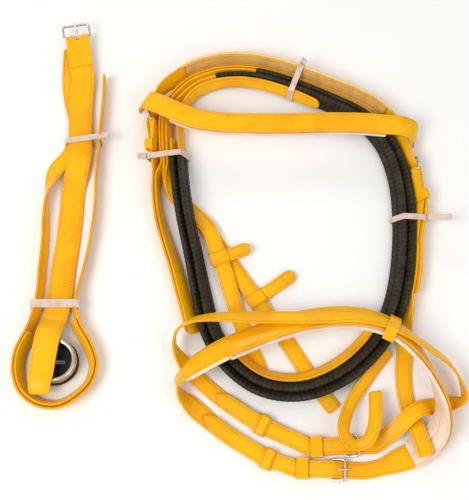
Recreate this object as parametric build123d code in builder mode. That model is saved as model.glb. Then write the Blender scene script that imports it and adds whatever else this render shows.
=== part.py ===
from build123d import *
from math import ceil, cos, degrees, hypot, radians, sin
import os

# A snaffle bridle, folded and tied up, and its running martingale, tied up beside it.
# Millimetres. +Z is up, +X runs to the bridle's right and +Y to its headpiece.

# ---------------------------------------------------------------- driving sizes
strap_thickness = 3.0
rein_width = 16.0
cheek_width = 16.0
grip_width = 19.0
grip_thickness = 5.2
headpiece_width = 24.0
noseband_width = 25.0
flash_width = 16.0
browband_width = 22.0
padding_thickness = 4.6
padding_rim = 2.4
girth_width = 25.0
fork_width = 17.0
loop_strap_width = 14.0

wire = 2.4
buckle_length = 14.0
frame_tilt = 15.0
frame_corner = 1.6
frame_side_gap = 0.5
tongue_wire = 2.0
tongue_length = 16.0
tongue_tilt = 24.8
tongue_wall = 0.9
tongue_slot = 4.2
tongue_slot_length = 7.6
tongue_slot_centre = 0.3
billet_slot_centre = 5.5
billet_slot_length = 9.4
billet_slot_width = 3.4
chape_length = 20.0
chape_tail = 14.0
eye_wall = 1.9
tail_reach = 40.0
keeper_length = 11.0
keeper_wall = 1.5
keeper_ease = 1.0
keeper_setback = 1.0
stop_length = 15.0
stop_reach_a = 24.0
stop_reach_b = 38.0
tab_width = 14.0
ring_radius = 19.5
ring_wire = 5.0
ring_gap = 0.3
ring_rest = 0.1
rubber_radius = 23.0
rubber_height = 7.0
rubber_slot_length = 20.0
rubber_slot_width = 5.0

tie_thickness = 1.2
tie_width = 6.0
lower_tie_width = 8.4
knot_size = 4.2
layer_gap = 0.4
tie_gap = 0.3
skin_gap = 0.08
lining_gap = 0.15
pin_clearance = 0.05
butt_gap = 0.05
middle_x = 3.3
middle_y = 11.7

# ---------------------------------------------------------------- heights of what crosses what
tied_rest = tie_thickness + tie_gap
layer = strap_thickness + layer_gap
keeper_height = 2 * strap_thickness + 3 * layer_gap + 0.5
crossing_rest = 2 * layer + 3.8

# ---------------------------------------------------------------- lines that straps follow
up = Vector(0, 0, 1)
# Where the middle of everything lies among the stations given below; it becomes the origin.
middle = Vector(middle_x, middle_y, 0)
turn_step = 9.0
lean_step = 12.0


def between(before, here, after, gap_before, gap_after, steady):
    """Slope at a station, from the slopes on both sides; a steady value never overshoots."""
    if gap_before is None:
        return after
    if gap_after is None:
        return before
    if steady and before * after <= 0:
        return 0.0
    slope = (before * gap_after + after * gap_before) / (gap_before + gap_after)
    if steady:
        limit = 3 * min(abs(before), abs(after))
        slope = max(-limit, min(limit, slope))
    return slope


def refine(stations, steady_from=2):
    """Stations put between the given ones, on a smooth line through all of them."""
    gaps = [hypot(b[0] - a[0], b[1] - a[1]) for a, b in zip(stations, stations[1:])]
    slopes = []
    for i, station in enumerate(stations):
        gap_before = gaps[i - 1] if i > 0 else None
        gap_after = gaps[i] if i < len(gaps) else None
        row = []
        for k, value in enumerate(station):
            before = (value - stations[i - 1][k]) / gap_before if gap_before else 0.0
            after = (stations[i + 1][k] - value) / gap_after if gap_after else 0.0
            row.append(between(before, value, after, gap_before, gap_after, k >= steady_from))
        slopes.append(row)
    fine = []
    for i, gap in enumerate(gaps):
        start, end = stations[i], stations[i + 1]
        chord = Vector(end[0] - start[0], end[1] - start[1], 0)
        leave = Vector(slopes[i][0], slopes[i][1], 0)
        reach = Vector(slopes[i + 1][0], slopes[i + 1][1], 0)
        turn = leave.get_angle(chord) + chord.get_angle(reach)
        pieces = max(1, ceil(turn / turn_step), ceil(abs(end[3] - start[3]) / lean_step))
        for step in range(pieces):
            f = step / pieces
            h00 = 2 * f**3 - 3 * f**2 + 1
            h10 = f**3 - 2 * f**2 + f
            h01 = 3 * f**2 - 2 * f**3
            h11 = f**3 - f**2
            fine.append(tuple(
                h00 * start[k] + h10 * gap * slopes[i][k] + h01 * end[k] + h11 * gap * slopes[i + 1][k]
                for k in range(len(start))
            ))
    fine.append(stations[-1])
    return fine


def headings(points):
    """Unit vectors along a line of points."""
    runs = []
    for i in range(len(points)):
        ahead = points[min(i + 1, len(points) - 1)]
        behind = points[max(i - 1, 0)]
        runs.append((ahead - behind).normalized())
    return runs


class Ring:
    """One cross-section of a strap: its centre, the way its width points, that width, its heading."""

    def __init__(self, centre, across, width, run=None):
        self.centre = centre
        self.across = across
        self.width = width
        self.run = run


def lean_rings(stations, thickness):
    """Rings of a strap that lies along stations of x, y, rest height, lean and width.

    The lean turns the width from level (0), with the left edge up, through upright (90)
    to level again (180). The rest height is that of the section's lowest corner.
    """
    fine = refine(stations)
    flat = [Vector(s[0], s[1], 0) for s in fine]
    rings = []
    for station, run in zip(fine, headings(flat)):
        lean = radians(station[3])
        width = station[4]
        height = station[2] + width / 2 * abs(sin(lean)) + thickness / 2 * abs(cos(lean))
        across = up.cross(run) * cos(lean) + up * sin(lean)
        rings.append(Ring(Vector(station[0], station[1], height) - middle, across, width))
    return rings


def planes(rings):
    """The section planes of rings, x across the strap and z along it."""
    runs = headings([ring.centre for ring in rings])
    result = []
    for ring, heading in zip(rings, runs):
        run = ring.run or heading
        across = (ring.across - run * ring.across.dot(run)).normalized()
        result.append(Plane(origin=ring.centre, x_dir=across, z_dir=run))
    return result


def beside(rings, distance, slide=0.0, width=None):
    """Rings of a strap that lies against another one, on the side that its top face has."""
    copies = []
    for ring, place in zip(rings, planes(rings)):
        centre = place.origin + place.y_dir * distance + place.x_dir * slide
        copies.append(Ring(centre, place.x_dir, width or ring.width, place.z_dir))
    return copies


def local_rings(place, points, width):
    """Rings at points given along a plane's x and z, with the width along its y."""
    return [Ring(place.from_local_coords(Vector(a, 0, c)), place.y_dir, width) for a, c in points]


def chape_joint(place, width, side=-1):
    """The ring at which a strap leaves the end of a buckle's chape."""
    spot = place.from_local_coords(Vector(-chape_end - butt_gap, 0, strap_thickness / 2))
    return [Ring(spot, side * place.y_dir, width, -place.x_dir)]


def flipped(rings):
    """The same rings with their width pointing the other way."""
    return [Ring(ring.centre, -ring.across, ring.width) for ring in rings]


def strap_body(rings, thickness, widen=0.0, mode=Mode.ADD):
    """A strap as one solid, through every ring in turn."""
    sections = []
    for place, ring in zip(planes(rings), rings):
        with BuildSketch(place) as section:
            Rectangle(ring.width + widen, thickness)
        sections.append(section.sketch)
    loft(sections, ruled=True, mode=mode)


def steps(*anchors):
    """A function of the place along the coil that goes smoothly through pairs of place and value."""
    def value(place):
        if place <= anchors[0][0]:
            return anchors[0][1]
        for (u0, v0), (u1, v1) in zip(anchors, anchors[1:]):
            if place <= u1:
                f = (place - u0) / (u1 - u0)
                return v0 + (v1 - v0) * f * f * (3 - 2 * f)
        return anchors[-1][1]
    return value


# ---------------------------------------------------------------- the coil that the reins make
# Inner lower edge of the coil, clockwise from the top left: x, y, place, lean.
coil_line = [
    (-49, 150, 0, 66), (-39.5, 168.5, 1, 69), (-19, 179.5, 2, 72), (5, 182.5, 3, 73), (33, 178, 4, 73),
    (65, 165.5, 5, 71), (98, 149, 6, 67), (126, 131.5, 7, 62), (146, 107, 8, 57), (157, 76, 9, 54),
    (160, 38, 10, 53), (158, 0, 11, 53), (152, -37, 12, 52), (141, -70, 13, 51), (120, -99, 14, 50),
    (93, -120, 15, 49), (62, -131, 16, 49), (33, -128, 17, 50), (9, -112, 18, 52), (-9, -86, 19, 55),
    (-20, -49, 20, 59), (-30, -6, 21, 63), (-40, 38, 22, 65), (-46, 80, 23, 66), (-49, 117, 24, 66),
]
coil_places = len(coil_line)
# Places where a grip or a bare end starts or stops, at which every strap of the coil has a ring.
grip_a_start = 2.05
grip_b_start = 3.55
grip_end = 23.65
rein_b_end = 24.1
coil_marks = [grip_a_start, grip_b_start, grip_end, rein_b_end]


def coil_turn(turn):
    """The coil's stations, shifted in place by whole turns."""
    return [(x, y, u + turn * coil_places, lean) for x, y, u, lean in coil_line]


coil_fine = refine(coil_turn(-1) + coil_turn(0) + coil_turn(1), steady_from=3)
coil_runs = headings([Vector(s[0], s[1], 0) for s in coil_fine])
coil_rest = steps(
    (-2.3, crossing_rest), (-1.7, tied_rest), (13.4, tied_rest), (14.8, layer), (17.8, layer),
    (19.5, tied_rest), (20.8, tied_rest), (21.5, crossing_rest), (22.85, crossing_rest), (23.3, tied_rest),
)


def coil_at(place):
    """x, y, lean and heading of the coil's line at a place."""
    for i in range(len(coil_fine) - 1):
        a, b = coil_fine[i], coil_fine[i + 1]
        if a[2] <= place <= b[2]:
            f = (place - a[2]) / (b[2] - a[2])
            run = (coil_runs[i] * (1 - f) + coil_runs[i + 1] * f).normalized()
            return a[0] + (b[0] - a[0]) * f, a[1] + (b[1] - a[1]) * f, a[3] + (b[3] - a[3]) * f, run
    raise ValueError("no such place on the coil")


def lane_ring(place, depth, thickness, width, rest=None):
    """Ring of a strap that stands in the coil, its middle plane a depth outside the coil's line."""
    x, y, lean_degrees, run = coil_at(place)
    lean = radians(lean_degrees)
    if rest is None:
        rest = coil_rest(place)
    height = rest + width / 2 * sin(lean) + thickness / 2 * cos(lean)
    outward = (depth + (height - coil_rest(place)) * cos(lean)) / sin(lean)
    side = up.cross(run)
    centre = Vector(x, y, height) + side * outward - middle
    return Ring(centre, side * cos(lean) + up * sin(lean), width)


def lane_rings(start, end, depth, thickness, width, rest=None):
    """Rings along the coil from one place to another; depth, width and rest may be functions."""
    marks = [mark + turn * coil_places for mark in coil_marks for turn in (-1, 0, 1)]
    middle = [u for u in [s[2] for s in coil_fine] if all(abs(u - mark) > 0.08 for mark in marks)]
    places = sorted(u for u in middle + marks if start + 0.04 < u < end - 0.04)
    rings = []
    for place in [start] + places + [end]:
        d = depth(place) if callable(depth) else depth
        w = width(place) if callable(width) else width
        r = rest(place) if callable(rest) else rest
        rings.append(lane_ring(place, d, thickness, w, r))
    return rings


def resized(rings, width):
    """The same rings with another width."""
    return [Ring(ring.centre, ring.across, width) for ring in rings]


# Depths of the lanes, from the inside of the coil out.
grip_step = grip_thickness + layer_gap
grip_fan = 1.8
lane_a = grip_thickness / 2
lane_b = lane_a + grip_step + grip_fan
lane_c = lane_b + grip_thickness / 2 + layer_gap + strap_thickness / 2
lane_d = lane_c + layer
lane_e = lane_d + layer
lane_f = lane_e + layer
# On the top the inner turn holds one bare strap, so the lanes outside it lie closer in.
top_a = strap_thickness / 2
top_b = top_a + strap_thickness / 2 + layer_gap + grip_thickness / 2
top_c = top_b + grip_step
top_d = top_c + grip_thickness / 2 + layer_gap + strap_thickness / 2
top_pad = top_d + strap_thickness / 2 + layer_gap + padding_thickness / 2
top_e = top_pad + padding_thickness / 2 + skin_gap + strap_thickness / 2
right_c = lane_c + 0.6
right_d = right_c + layer

# ---------------------------------------------------------------- reins and their grips
rein_a_depth = steps(
    (-0.9, lane_c), (1.1, top_b), (6.6, top_b), (9.5, lane_a), (24.3, lane_a), (26.0, top_a),
)
rein_b_depth = steps((-0.9, lane_d), (1.1, top_c), (6.6, top_c), (9.5, lane_b))
rein_join = -1.62
rein_a_tip = 30.7
stop_lift = keeper_wall + layer_gap + 0.1

# x, y, rest, lean, width, from the bit end up to where the reins pass under the coil.
rein_b_bit_end = [
    (98, -165, 0, 0, 15), (80, -141, 0, 0, rein_width), (65, -117, 0, 0, rein_width),
    (48, -90, 0, 0, rein_width), (30, -65, stop_lift, 0, rein_width), (14, -42, stop_lift, 0, rein_width),
    (-4, -15, 0, 0, rein_width), (-22, 12, 0, 0, rein_width),
]
rein_crossing = [
    (-38, 34, 0, 0, rein_width), (-53, 49, 0, 0, rein_width),
    (-65, 64, 0, 12, rein_width), (-69.5, 80, 0.4, 42, rein_width),
]
stop_rest = layer + keeper_wall + 2 * layer_gap
rein_a_bit_end = [
    (30, -138, 0, 0, 12), (23, -120, 0, 0, rein_width), (13, -95, 0, 0, rein_width),
    (4, -70, 0.3, 0, rein_width), (-4, -46, 4.6, 0, rein_width), (-11, -22, stop_rest, 0, rein_width),
    (-19, 0, stop_rest, 0, rein_width), (-27, 21, stop_rest - 0.6, 0, rein_width),
]

rein_b_coil = lane_rings(rein_join, rein_b_end, rein_b_depth, grip_thickness, grip_width)
rein_a_coil = lane_rings(rein_join, rein_a_tip, rein_a_depth, grip_thickness, grip_width)
rein_b_low = lean_rings(rein_b_bit_end + rein_crossing, strap_thickness)
rein_a_low = lean_rings(rein_a_bit_end, strap_thickness)
crossing_front = rein_crossing[0][1] - 1
rein_b_top = beside(rein_b_low + rein_b_coil[:1], layer + 0.2)[:-1]
rein_a_crossing = [ring for ring in rein_b_top if ring.centre.Y + middle_y > crossing_front]
rein_a_rings = rein_a_low + rein_a_crossing + resized(rein_a_coil, rein_width)
rein_b_rings = rein_b_low + resized(rein_b_coil, rein_width)
for narrow, ring in zip((9.0, 13.0), reversed(rein_a_rings[-2:])):
    ring.width = narrow
grip_a_rings = lane_rings(grip_a_start, grip_end, rein_a_depth, grip_thickness, grip_width)
grip_b_rings = lane_rings(grip_b_start, grip_end, rein_b_depth, grip_thickness, grip_width)

# ---------------------------------------------------------------- buckles, in a plane of their own
# A buckle's plane has its heel bar's foot as origin, x towards the nose and z away from the chape.
bar_radius = wire / 2
eye_radius = bar_radius + pin_clearance + eye_wall
chape_end = chape_length + chape_tail
billet_rise = strap_thickness + layer_gap + strap_thickness / 2
over_heel = 2 * eye_radius + layer_gap + strap_thickness / 2
under_nose = 3.2
billet_path = [
    (chape_length + 10, strap_thickness / 2 + 0.2), (chape_length, strap_thickness / 2 + 0.5),
    (buckle_length, under_nose), (buckle_length / 2, 5.6), (2, over_heel), (-3, over_heel),
    (-chape_length, billet_rise + 0.3), (-chape_end, billet_rise + 0.1),
]


def lane_plane(place, depth, rest):
    """A buckle's plane on a strap of the coil: x runs on along the coil, z points out of it."""
    ring = lane_ring(place, depth, strap_thickness, cheek_width, rest)
    run = coil_at(place)[3]
    inward = run.cross(ring.across)
    return Plane(origin=ring.centre + inward * (strap_thickness / 2), x_dir=run, z_dir=-inward)


def floor_plane(x, y, angle):
    """A buckle's plane on the surface that the bridle lies on, its nose at an angle from +X."""
    nose_way = Vector(cos(radians(angle)), sin(radians(angle)), 0)
    return Plane(origin=Vector(x, y, 0) - middle, x_dir=nose_way, z_dir=up)


left_buckle = lane_plane(-0.45, lane_f, 6.0)
right_buckle_raw = lane_plane(9.0, right_c, 6.4)
right_buckle = Plane(origin=right_buckle_raw.origin, x_dir=-right_buckle_raw.x_dir, z_dir=right_buckle_raw.z_dir)
noseband_buckle = floor_plane(92, -222, -2)
flash_buckle = floor_plane(106, -200, 2)

# ---------------------------------------------------------------- headpiece, throatlatch, cheekpieces
headpiece_tail = flipped(local_rings(left_buckle, [(-tail_reach, billet_rise)] + billet_path[::-1], cheek_width))
headpiece_top = lane_rings(1.2, 7.4, top_e, strap_thickness, headpiece_width)
headpiece_rings = (
    headpiece_tail
    + headpiece_top
    + local_rings(right_buckle, billet_path, cheek_width)
    + lane_rings(10.7, 12.15, right_d, strap_thickness, cheek_width)
)
headpiece_pad_rings = beside(
    headpiece_rings, strap_thickness / 2 + skin_gap + padding_thickness / 2,
    slide=padding_rim, width=headpiece_width - padding_rim,
)[len(headpiece_tail) + 1:len(headpiece_tail) + len(headpiece_top) - 1]

throat_depth = steps((-0.9, lane_e), (1.1, top_d))
cheek_left_low = [
    (-42, -90, 0, 40, 13), (-45, -79, 0, 42, cheek_width), (-49, -64, 0, 45, cheek_width),
    (-55, -44, 0, 48, cheek_width), (-62, -20, 0, 53, cheek_width), (-70, 4, 0, 58, cheek_width),
    (-77, 26, 0, 64, cheek_width), (-81.5, 46, 0, 72, cheek_width), (-83.5, 64, 0.3, 76, cheek_width),
    (-82.5, 79, 1, 70, cheek_width),
]
cheek_left_free = lean_rings(cheek_left_low, strap_thickness)
cheek_left_joint = chape_joint(left_buckle, cheek_width)
cheek_left_joint[0].run = left_buckle.x_dir
cheek_left_rings = cheek_left_free + cheek_left_joint
throatlatch_rings = (
    beside(cheek_left_free + lane_rings(-1.62, -1.4, lane_f, strap_thickness, cheek_width), layer + 0.2)[:-2]
    + lane_rings(-1.62, 7.6, throat_depth, strap_thickness, cheek_width)
)
cheek_right_low = [
    (174, -60, 1.5, 47, cheek_width), (170, -83, 0.6, 28, cheek_width), (169, -106, 0, 8, cheek_width),
    (167, -128, 0, 0, cheek_width), (167.5, -148, 0, 0, cheek_width), (171, -167, 0.2, 0, cheek_width),
    (173.5, -176, 4, 0, cheek_width), (175.5, -183, 8.4, 0, cheek_width), (177, -190, 11.4, 0, cheek_width),
    (178.5, -197, 15, 0, cheek_width), (180, -204, 17.2, 0, cheek_width), (181.5, -211, 18, 0, cheek_width),
]
cheek_right_rings = (
    chape_joint(right_buckle, cheek_width, side=1)
    + lane_rings(10.7, 12.2, right_c, strap_thickness, cheek_width)
    + lean_rings(cheek_right_low, strap_thickness)
)
headstrap_depth = -(layer_gap + strap_thickness / 2)
headstrap_rings = lane_rings(13.3, 18.4, headstrap_depth, strap_thickness, loop_strap_width)

# ---------------------------------------------------------------- noseband and flash strap
tail_width = 16.0
over_coil = tied_rest + grip_width * sin(radians(54)) + grip_thickness * cos(radians(54)) + 6.8
noseband_west = [
    (56, -220, 0, 0, tail_width), (34, -213, 0, 0, tail_width), (12, -201, 0, 0, tail_width),
    (-10, -187, 0, 0, tail_width), (-30, -171, 0, 8, 18),
]
noseband_free = noseband_west + [
    (-45, -158, 0.4, 42, 21), (-54, -148, 1.5, 75, 22), (-56, -139, 4.5, 105, 23),
    (-47, -131, 12, 130, 24), (-29, -120, 22, 146, noseband_width),
    (-9, -110, over_coil, 150, noseband_width), (17, -99, over_coil, 151, noseband_width),
    (54, -86, over_coil + 1, 151, noseband_width), (92, -79, over_coil + 1, 150, noseband_width),
    (127, -80, over_coil + 0.5, 146, noseband_width), (158, -92, over_coil - 1, 135, noseband_width),
    (183, -115, 13, 115, noseband_width), (197, -141, 7, 98, noseband_width),
    (203, -168, 4.8, 78, noseband_width), (197, -189, 2, 44, noseband_width),
    (181, -203, 0, 14, noseband_width), (156, -214, 0, 4, 22), (138, -220.5, 0, 0, tail_width),
]
noseband_start = chape_joint(noseband_buckle, tail_width)
noseband_middle = lean_rings(noseband_free, strap_thickness)
noseband_end = flipped(local_rings(noseband_buckle, billet_path, tail_width))
noseband_tail = beside(lean_rings(noseband_west + [(-52, -153, 0, 8, 14)], strap_thickness), layer + 0.5)[:-1]
noseband_tail[-1].width = 12.0
noseband_rings = noseband_start + noseband_middle + noseband_end + noseband_tail

flash_west = [
    (66, -198, 0, 0, flash_width), (44, -188, 0, 0, flash_width), (20, -176, 0, 0, flash_width),
    (0, -163, 0, 0, flash_width),
]
flash_free = flash_west + [
    (-18, -150, 0, 0, flash_width), (-32, -138, 0, 0, flash_width), (-43, -126, 0.3, 8, flash_width),
    (-53, -115, 3, 45, flash_width), (-59, -104, 9, 80, flash_width), (-57, -92, 17, 98, flash_width),
    (-45, -84, 24, 112, flash_width), (-22, -80.5, 30, 130, flash_width),
    (10, -80.5, 31.5, 148, flash_width), (45, -81, 32.5, 151, flash_width),
]
flash_east = [
    (175, -100.5, 25.5, 125, flash_width), (191, -110.5, 20, 124, flash_width),
    (209, -123, 13, 115, flash_width), (221, -142, 7, 95, flash_width),
    (222, -157, 3, 70, flash_width), (212, -159, 0.5, 25, flash_width), (200, -161, 0, 0, flash_width),
    (193, -161.5, 0, 0, flash_width), (184.5, -163.5, 8, 0, flash_width), (178, -166, 11.4, 0, flash_width),
    (168, -173, 13, 0, flash_width), (154, -186, 8, 0, flash_width), (143, -194, 1.8, 0, flash_width),
]
over_nose = [
    ring for ring in noseband_middle if 80 < ring.centre.X + middle_x < 160 and ring.centre.Y + middle_y > -115
]
noseband_pad_rings = [
    ring for ring in beside(
        noseband_middle, strap_thickness / 2 + lining_gap + padding_thickness / 2,
        width=noseband_width + padding_rim,
    )
    if ring.centre.X + middle_x > 165 or ring.centre.X + middle_x > -10 and ring.centre.Y + middle_y > -130
]
flash_middle = beside(over_nose, -layer - 0.7, slide=5.5, width=flash_width)
flash_start = chape_joint(flash_buckle, flash_width)
flash_end = flipped(local_rings(flash_buckle, billet_path, flash_width))
flash_tail = beside(lean_rings(flash_west + [(-18, -150, 0, 0, 12)], strap_thickness), layer + 0.5)
flash_rings = (
    flash_start + lean_rings(flash_free, strap_thickness) + flash_middle
    + lean_rings(flash_east, strap_thickness) + flash_end + flash_tail
)

# ---------------------------------------------------------------- browband
browband_points = [
    (-95.5, 160.5, 6, 58), (-95.5, 160, 16, 58), (-93, 159, 24.5, 59), (-81, 152.5, 29.5, 62), (-64, 144, 31, 68),
    (-46, 136, 31.2, 78), (-22, 131, 31.5, 90), (15, 129, 31.5, 90), (60, 129, 31.5, 90),
    (105, 130, 31.5, 90), (138, 129, 31.5, 86), (159, 127, 31.5, 80), (176, 126, 30, 77),
    (187, 124, 24, 76), (191, 122.5, 14, 76), (191.5, 122, 4, 76),
]
browband_rings = [
    Ring(Vector(x, y, z) - middle, Vector(cos(radians(turn)), sin(radians(turn)), 0), browband_width)
    for x, y, z, turn in browband_points
]
browband_pad_rings = beside(
    browband_rings, -(strap_thickness / 2 + skin_gap + padding_thickness / 2),
    width=browband_width + padding_rim,
)[4:-4]

# ---------------------------------------------------------------- strap looped through for the bit
bit_loop_stations = [
    (152.8, -107, 0.5, 140, loop_strap_width), (135, -129, 0.5, 145, loop_strap_width),
    (117, -153, 4, 148, loop_strap_width), (107, -173, 11, 150, loop_strap_width),
    (104, -189, 16.5, 150, loop_strap_width), (111, -201, 17.5, 148, loop_strap_width),
    (124, -199, 17.5, 148, loop_strap_width), (133, -184, 14, 148, loop_strap_width),
    (136, -166, 9, 148, loop_strap_width), (137, -148, 5, 148, loop_strap_width),
]
bit_loop_rings = lean_rings(bit_loop_stations, strap_thickness)

# ---------------------------------------------------------------- martingale
girth_buckle = Plane(origin=Vector(-172, 240, 9) - middle, x_dir=Vector(-0.17, 0.985, 0), z_dir=up)
girth_stations = [
    (-164.5, 196, 6.5, 0, girth_width), (-165, 170, 3.8, 0, girth_width),
    (-164, 124, 5.6, 0, girth_width), (-163, 106, 4.9, 0, girth_width), (-165, 90, 4.2, 0, girth_width),
    (-169, 66, 0.4, 0, girth_width),
    (-170, 39, 0, 0, girth_width), (-172, 6, 0, 0, girth_width), (-175, -26, 0.4, 0, girth_width),
    (-177, -57, 1.9, 0, girth_width), (-180, -76, 7, 0, girth_width), (-183, -92, 18.1, 0, girth_width),
    (-186, -112, 18.2, 0, girth_width), (-188, -130, 18.1, 0, girth_width), (-189, -143, 17.9, 0, 22),
    (-189, -152, 14.5, 0, 20),
]
girth_rings = chape_joint(girth_buckle, girth_width) + lean_rings(girth_stations, strap_thickness)
fork_stations = [
    (-180, 232, 0, 0, fork_width), (-178, 180, 0, 0, fork_width), (-169, 119, 1.9, 0, fork_width),
    (-176, 104, 0.6, 0, fork_width), (-188, 89, 0, 5, fork_width), (-192, 73, 0, 40, fork_width),
    (-195, 57, 0, 80, fork_width), (-195, 37, 0, 100, fork_width),
    (-194, 7, 0, 105, fork_width), (-195, -25, 0.4, 106, fork_width), (-196, -57, 1.9, 108, fork_width),
    (-198, -69, 1.9, 110, fork_width), (-204, -88, 0, 112, fork_width), (-213, -108, 0, 112, fork_width),
    (-214, -130, 0, 112, fork_width), (-206, -149, 0, 112, fork_width), (-188, -161, 0, 112, fork_width),
    (-171, -162, 0, 112, fork_width), (-154, -153, 0, 112, fork_width), (-141, -139, 0, 112, fork_width),
    (-137, -123, 0, 112, fork_width), (-144, -101, 0, 112, fork_width), (-155, -83, 0.6, 112, fork_width),
    (-159, -69, 1.9, 108, fork_width), (-160, -57, 1.9, 106, fork_width), (-156, -35, 0.4, 104, fork_width),
    (-151, -9, 0, 102, fork_width), (-147, 20, 0, 100, fork_width), (-145, 48, 0, 98, fork_width),
    (-145, 80, 0, 96, fork_width), (-143, 116, 1.9, 94, fork_width), (-142, 143, 0.4, 94, fork_width),
    (-141, 169, 0, 94, fork_width), (-141, 195, 0, 94, fork_width),
]
fork_rings = lean_rings(fork_stations, strap_thickness)
neck_strap_rings = [
    ring for ring in beside(fork_rings, -layer - 0.2) if ring.centre.Y + middle_y < -74
]
loop_middle = Vector(-177, -118, 0) - middle
lower_ring_height = rubber_height + ring_wire / 2 + ring_rest
upper_ring_height = lower_ring_height + ring_wire + ring_gap

# ---------------------------------------------------------------- things that go on the straps


def buckle_frame(place, strap_width):
    """A wire frame hinged on a chape: heel bar, two sides and a nose, tilted up from the heel."""
    half = (strap_width + wire) / 2 + frame_side_gap
    tilt = radians(frame_tilt)
    lifted = place.x_dir * cos(tilt) + place.z_dir * sin(tilt)
    origin = place.origin + place.z_dir * eye_radius
    corners = [(buckle_length, 0), (buckle_length, half), (0, half), (0, -half), (buckle_length, -half)]
    nose = origin + lifted * buckle_length
    with BuildLine(Plane(origin=origin, x_dir=lifted, z_dir=lifted.cross(place.y_dir))) as frame_line:
        Polyline(*corners, close=True)
        fillet(frame_line.vertices().filter_by(lambda corner: corner.distance_to(nose) > wire / 2), frame_corner)
    start = Plane(origin=nose, z_dir=place.y_dir)
    with BuildSketch(start) as section:
        Circle(wire / 2)
    sweep(section.sketch, path=frame_line.wires()[0])


def chape(place, strap_width, keeper):
    """The folded end of a strap round a buckle's heel bar, slotted for the tongue, with its keeper."""
    side = Plane(origin=place.origin, x_dir=place.x_dir, z_dir=-place.y_dir)
    with BuildSketch(side) as section:
        with BuildLine():
            CenterArc((0, eye_radius), eye_radius, 0, 360)
            Polyline((-chape_length, 0), (-chape_length, strap_thickness), (-chape_length, 0))
        make_hull()
        with Locations((-chape_end / 2, strap_thickness / 2)):
            Rectangle(chape_end, strap_thickness)
        with Locations((0, eye_radius)):
            Circle(bar_radius + pin_clearance, mode=Mode.SUBTRACT)
    extrude(section.sketch, amount=strap_width / 2, both=True)
    with BuildSketch(side) as section:
        with Locations((tongue_slot_centre, eye_radius)):
            Rectangle(tongue_slot_length, 3 * eye_radius)
    extrude(section.sketch, amount=tongue_slot / 2, both=True, mode=Mode.SUBTRACT)
    if not keeper:
        return
    tail = place.from_local_coords(Vector(keeper_setback - chape_end, 0, 0))
    end_plane = Plane(origin=tail, x_dir=place.y_dir, z_dir=place.x_dir)
    top = keeper_height - 0.2
    wide = strap_width + 2 * (layer_gap + keeper_wall)
    with BuildSketch(end_plane) as section:
        with Locations((0, top / 2 + keeper_wall / 2)):
            Rectangle(wide, top + keeper_wall)
        with Locations((0, (strap_thickness + top) / 2)):
            Rectangle(strap_width + 2 * layer_gap, top - strap_thickness, mode=Mode.SUBTRACT)
    extrude(section.sketch, amount=keeper_length)


def keeper(x, y, angle, strap_width):
    """A loop that stands over the two layers of a strap, which runs at an angle from +X there."""
    run = Vector(cos(radians(angle)), sin(radians(angle)), 0)
    place = Plane(origin=Vector(x, y, 0) - middle, x_dir=up.cross(run), z_dir=run)
    top = keeper_height
    inside = strap_width + 2 * layer_gap + keeper_ease
    with BuildSketch(place) as section:
        with Locations((0, (top + keeper_wall) / 2)):
            Rectangle(inside + 2 * keeper_wall, top + keeper_wall)
        with Locations((0, top / 2)):
            Rectangle(inside, top, mode=Mode.SUBTRACT)
    extrude(section.sketch, amount=keeper_length / 2, both=True)


def buckle_tongue(place):
    """A tongue on the heel bar, its point resting over the nose."""
    side = Plane(origin=place.origin + place.z_dir * eye_radius, x_dir=place.x_dir, z_dir=-place.y_dir)
    with BuildSketch(side) as section:
        Circle(bar_radius + pin_clearance + tongue_wall)
    extrude(section.sketch, amount=tongue_slot / 2 - layer_gap, both=True)
    tilt = radians(tongue_tilt)
    tongue_way = place.x_dir * cos(tilt) + place.z_dir * sin(tilt)
    with BuildSketch(Plane(origin=side.origin + tongue_way * bar_radius, z_dir=tongue_way)) as section:
        Circle(tongue_wire / 2)
    extrude(section.sketch, amount=tongue_length)
    with BuildSketch(side) as section:
        Circle(bar_radius + pin_clearance)
    extrude(section.sketch, amount=tongue_slot, both=True, mode=Mode.SUBTRACT)


def billet_slot(place):
    """The hole in a billet that the tongue goes through."""
    spot = place.from_local_coords(Vector(billet_slot_centre, 0, 0))
    with BuildSketch(Plane(origin=spot, x_dir=place.x_dir, z_dir=place.z_dir)) as section:
        SlotOverall(billet_slot_length, billet_slot_width)
    extrude(section.sketch, amount=2 * over_heel, mode=Mode.SUBTRACT)


def band(place, strap_width, length, wall):
    """A closed band round a strap, centred on the strap's section."""
    with BuildSketch(place) as section:
        Rectangle(strap_width + 2 * (layer_gap + wall), strap_thickness + 2 * (layer_gap + wall))
        Rectangle(strap_width + 2 * layer_gap, strap_thickness + 2 * layer_gap, mode=Mode.SUBTRACT)
    extrude(section.sketch, amount=length / 2, both=True)


def crossing_corners(rings, thickness, place):
    """Corners of a strap's section where it crosses a plane, in that plane's own x and y."""
    found = []
    sections = planes(rings)
    for k, (a, b) in enumerate(zip(sections, sections[1:])):
        near = place.to_local_coords(a.origin).Z
        far = place.to_local_coords(b.origin).Z
        if near * far > 0 or (a.origin - place.origin).length > 60:
            continue
        for i in (-0.5, 0.5):
            for j in (-0.5, 0.5):
                p = place.to_local_coords(a.from_local_coords(Vector(i * rings[k].width, j * thickness, 0)))
                q = place.to_local_coords(b.from_local_coords(Vector(i * rings[k + 1].width, j * thickness, 0)))
                f = -p.Z / (q.Z - p.Z)
                found.append((p.X + (q.X - p.X) * f, p.Y + (q.Y - p.Y) * f))
    return found


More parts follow.
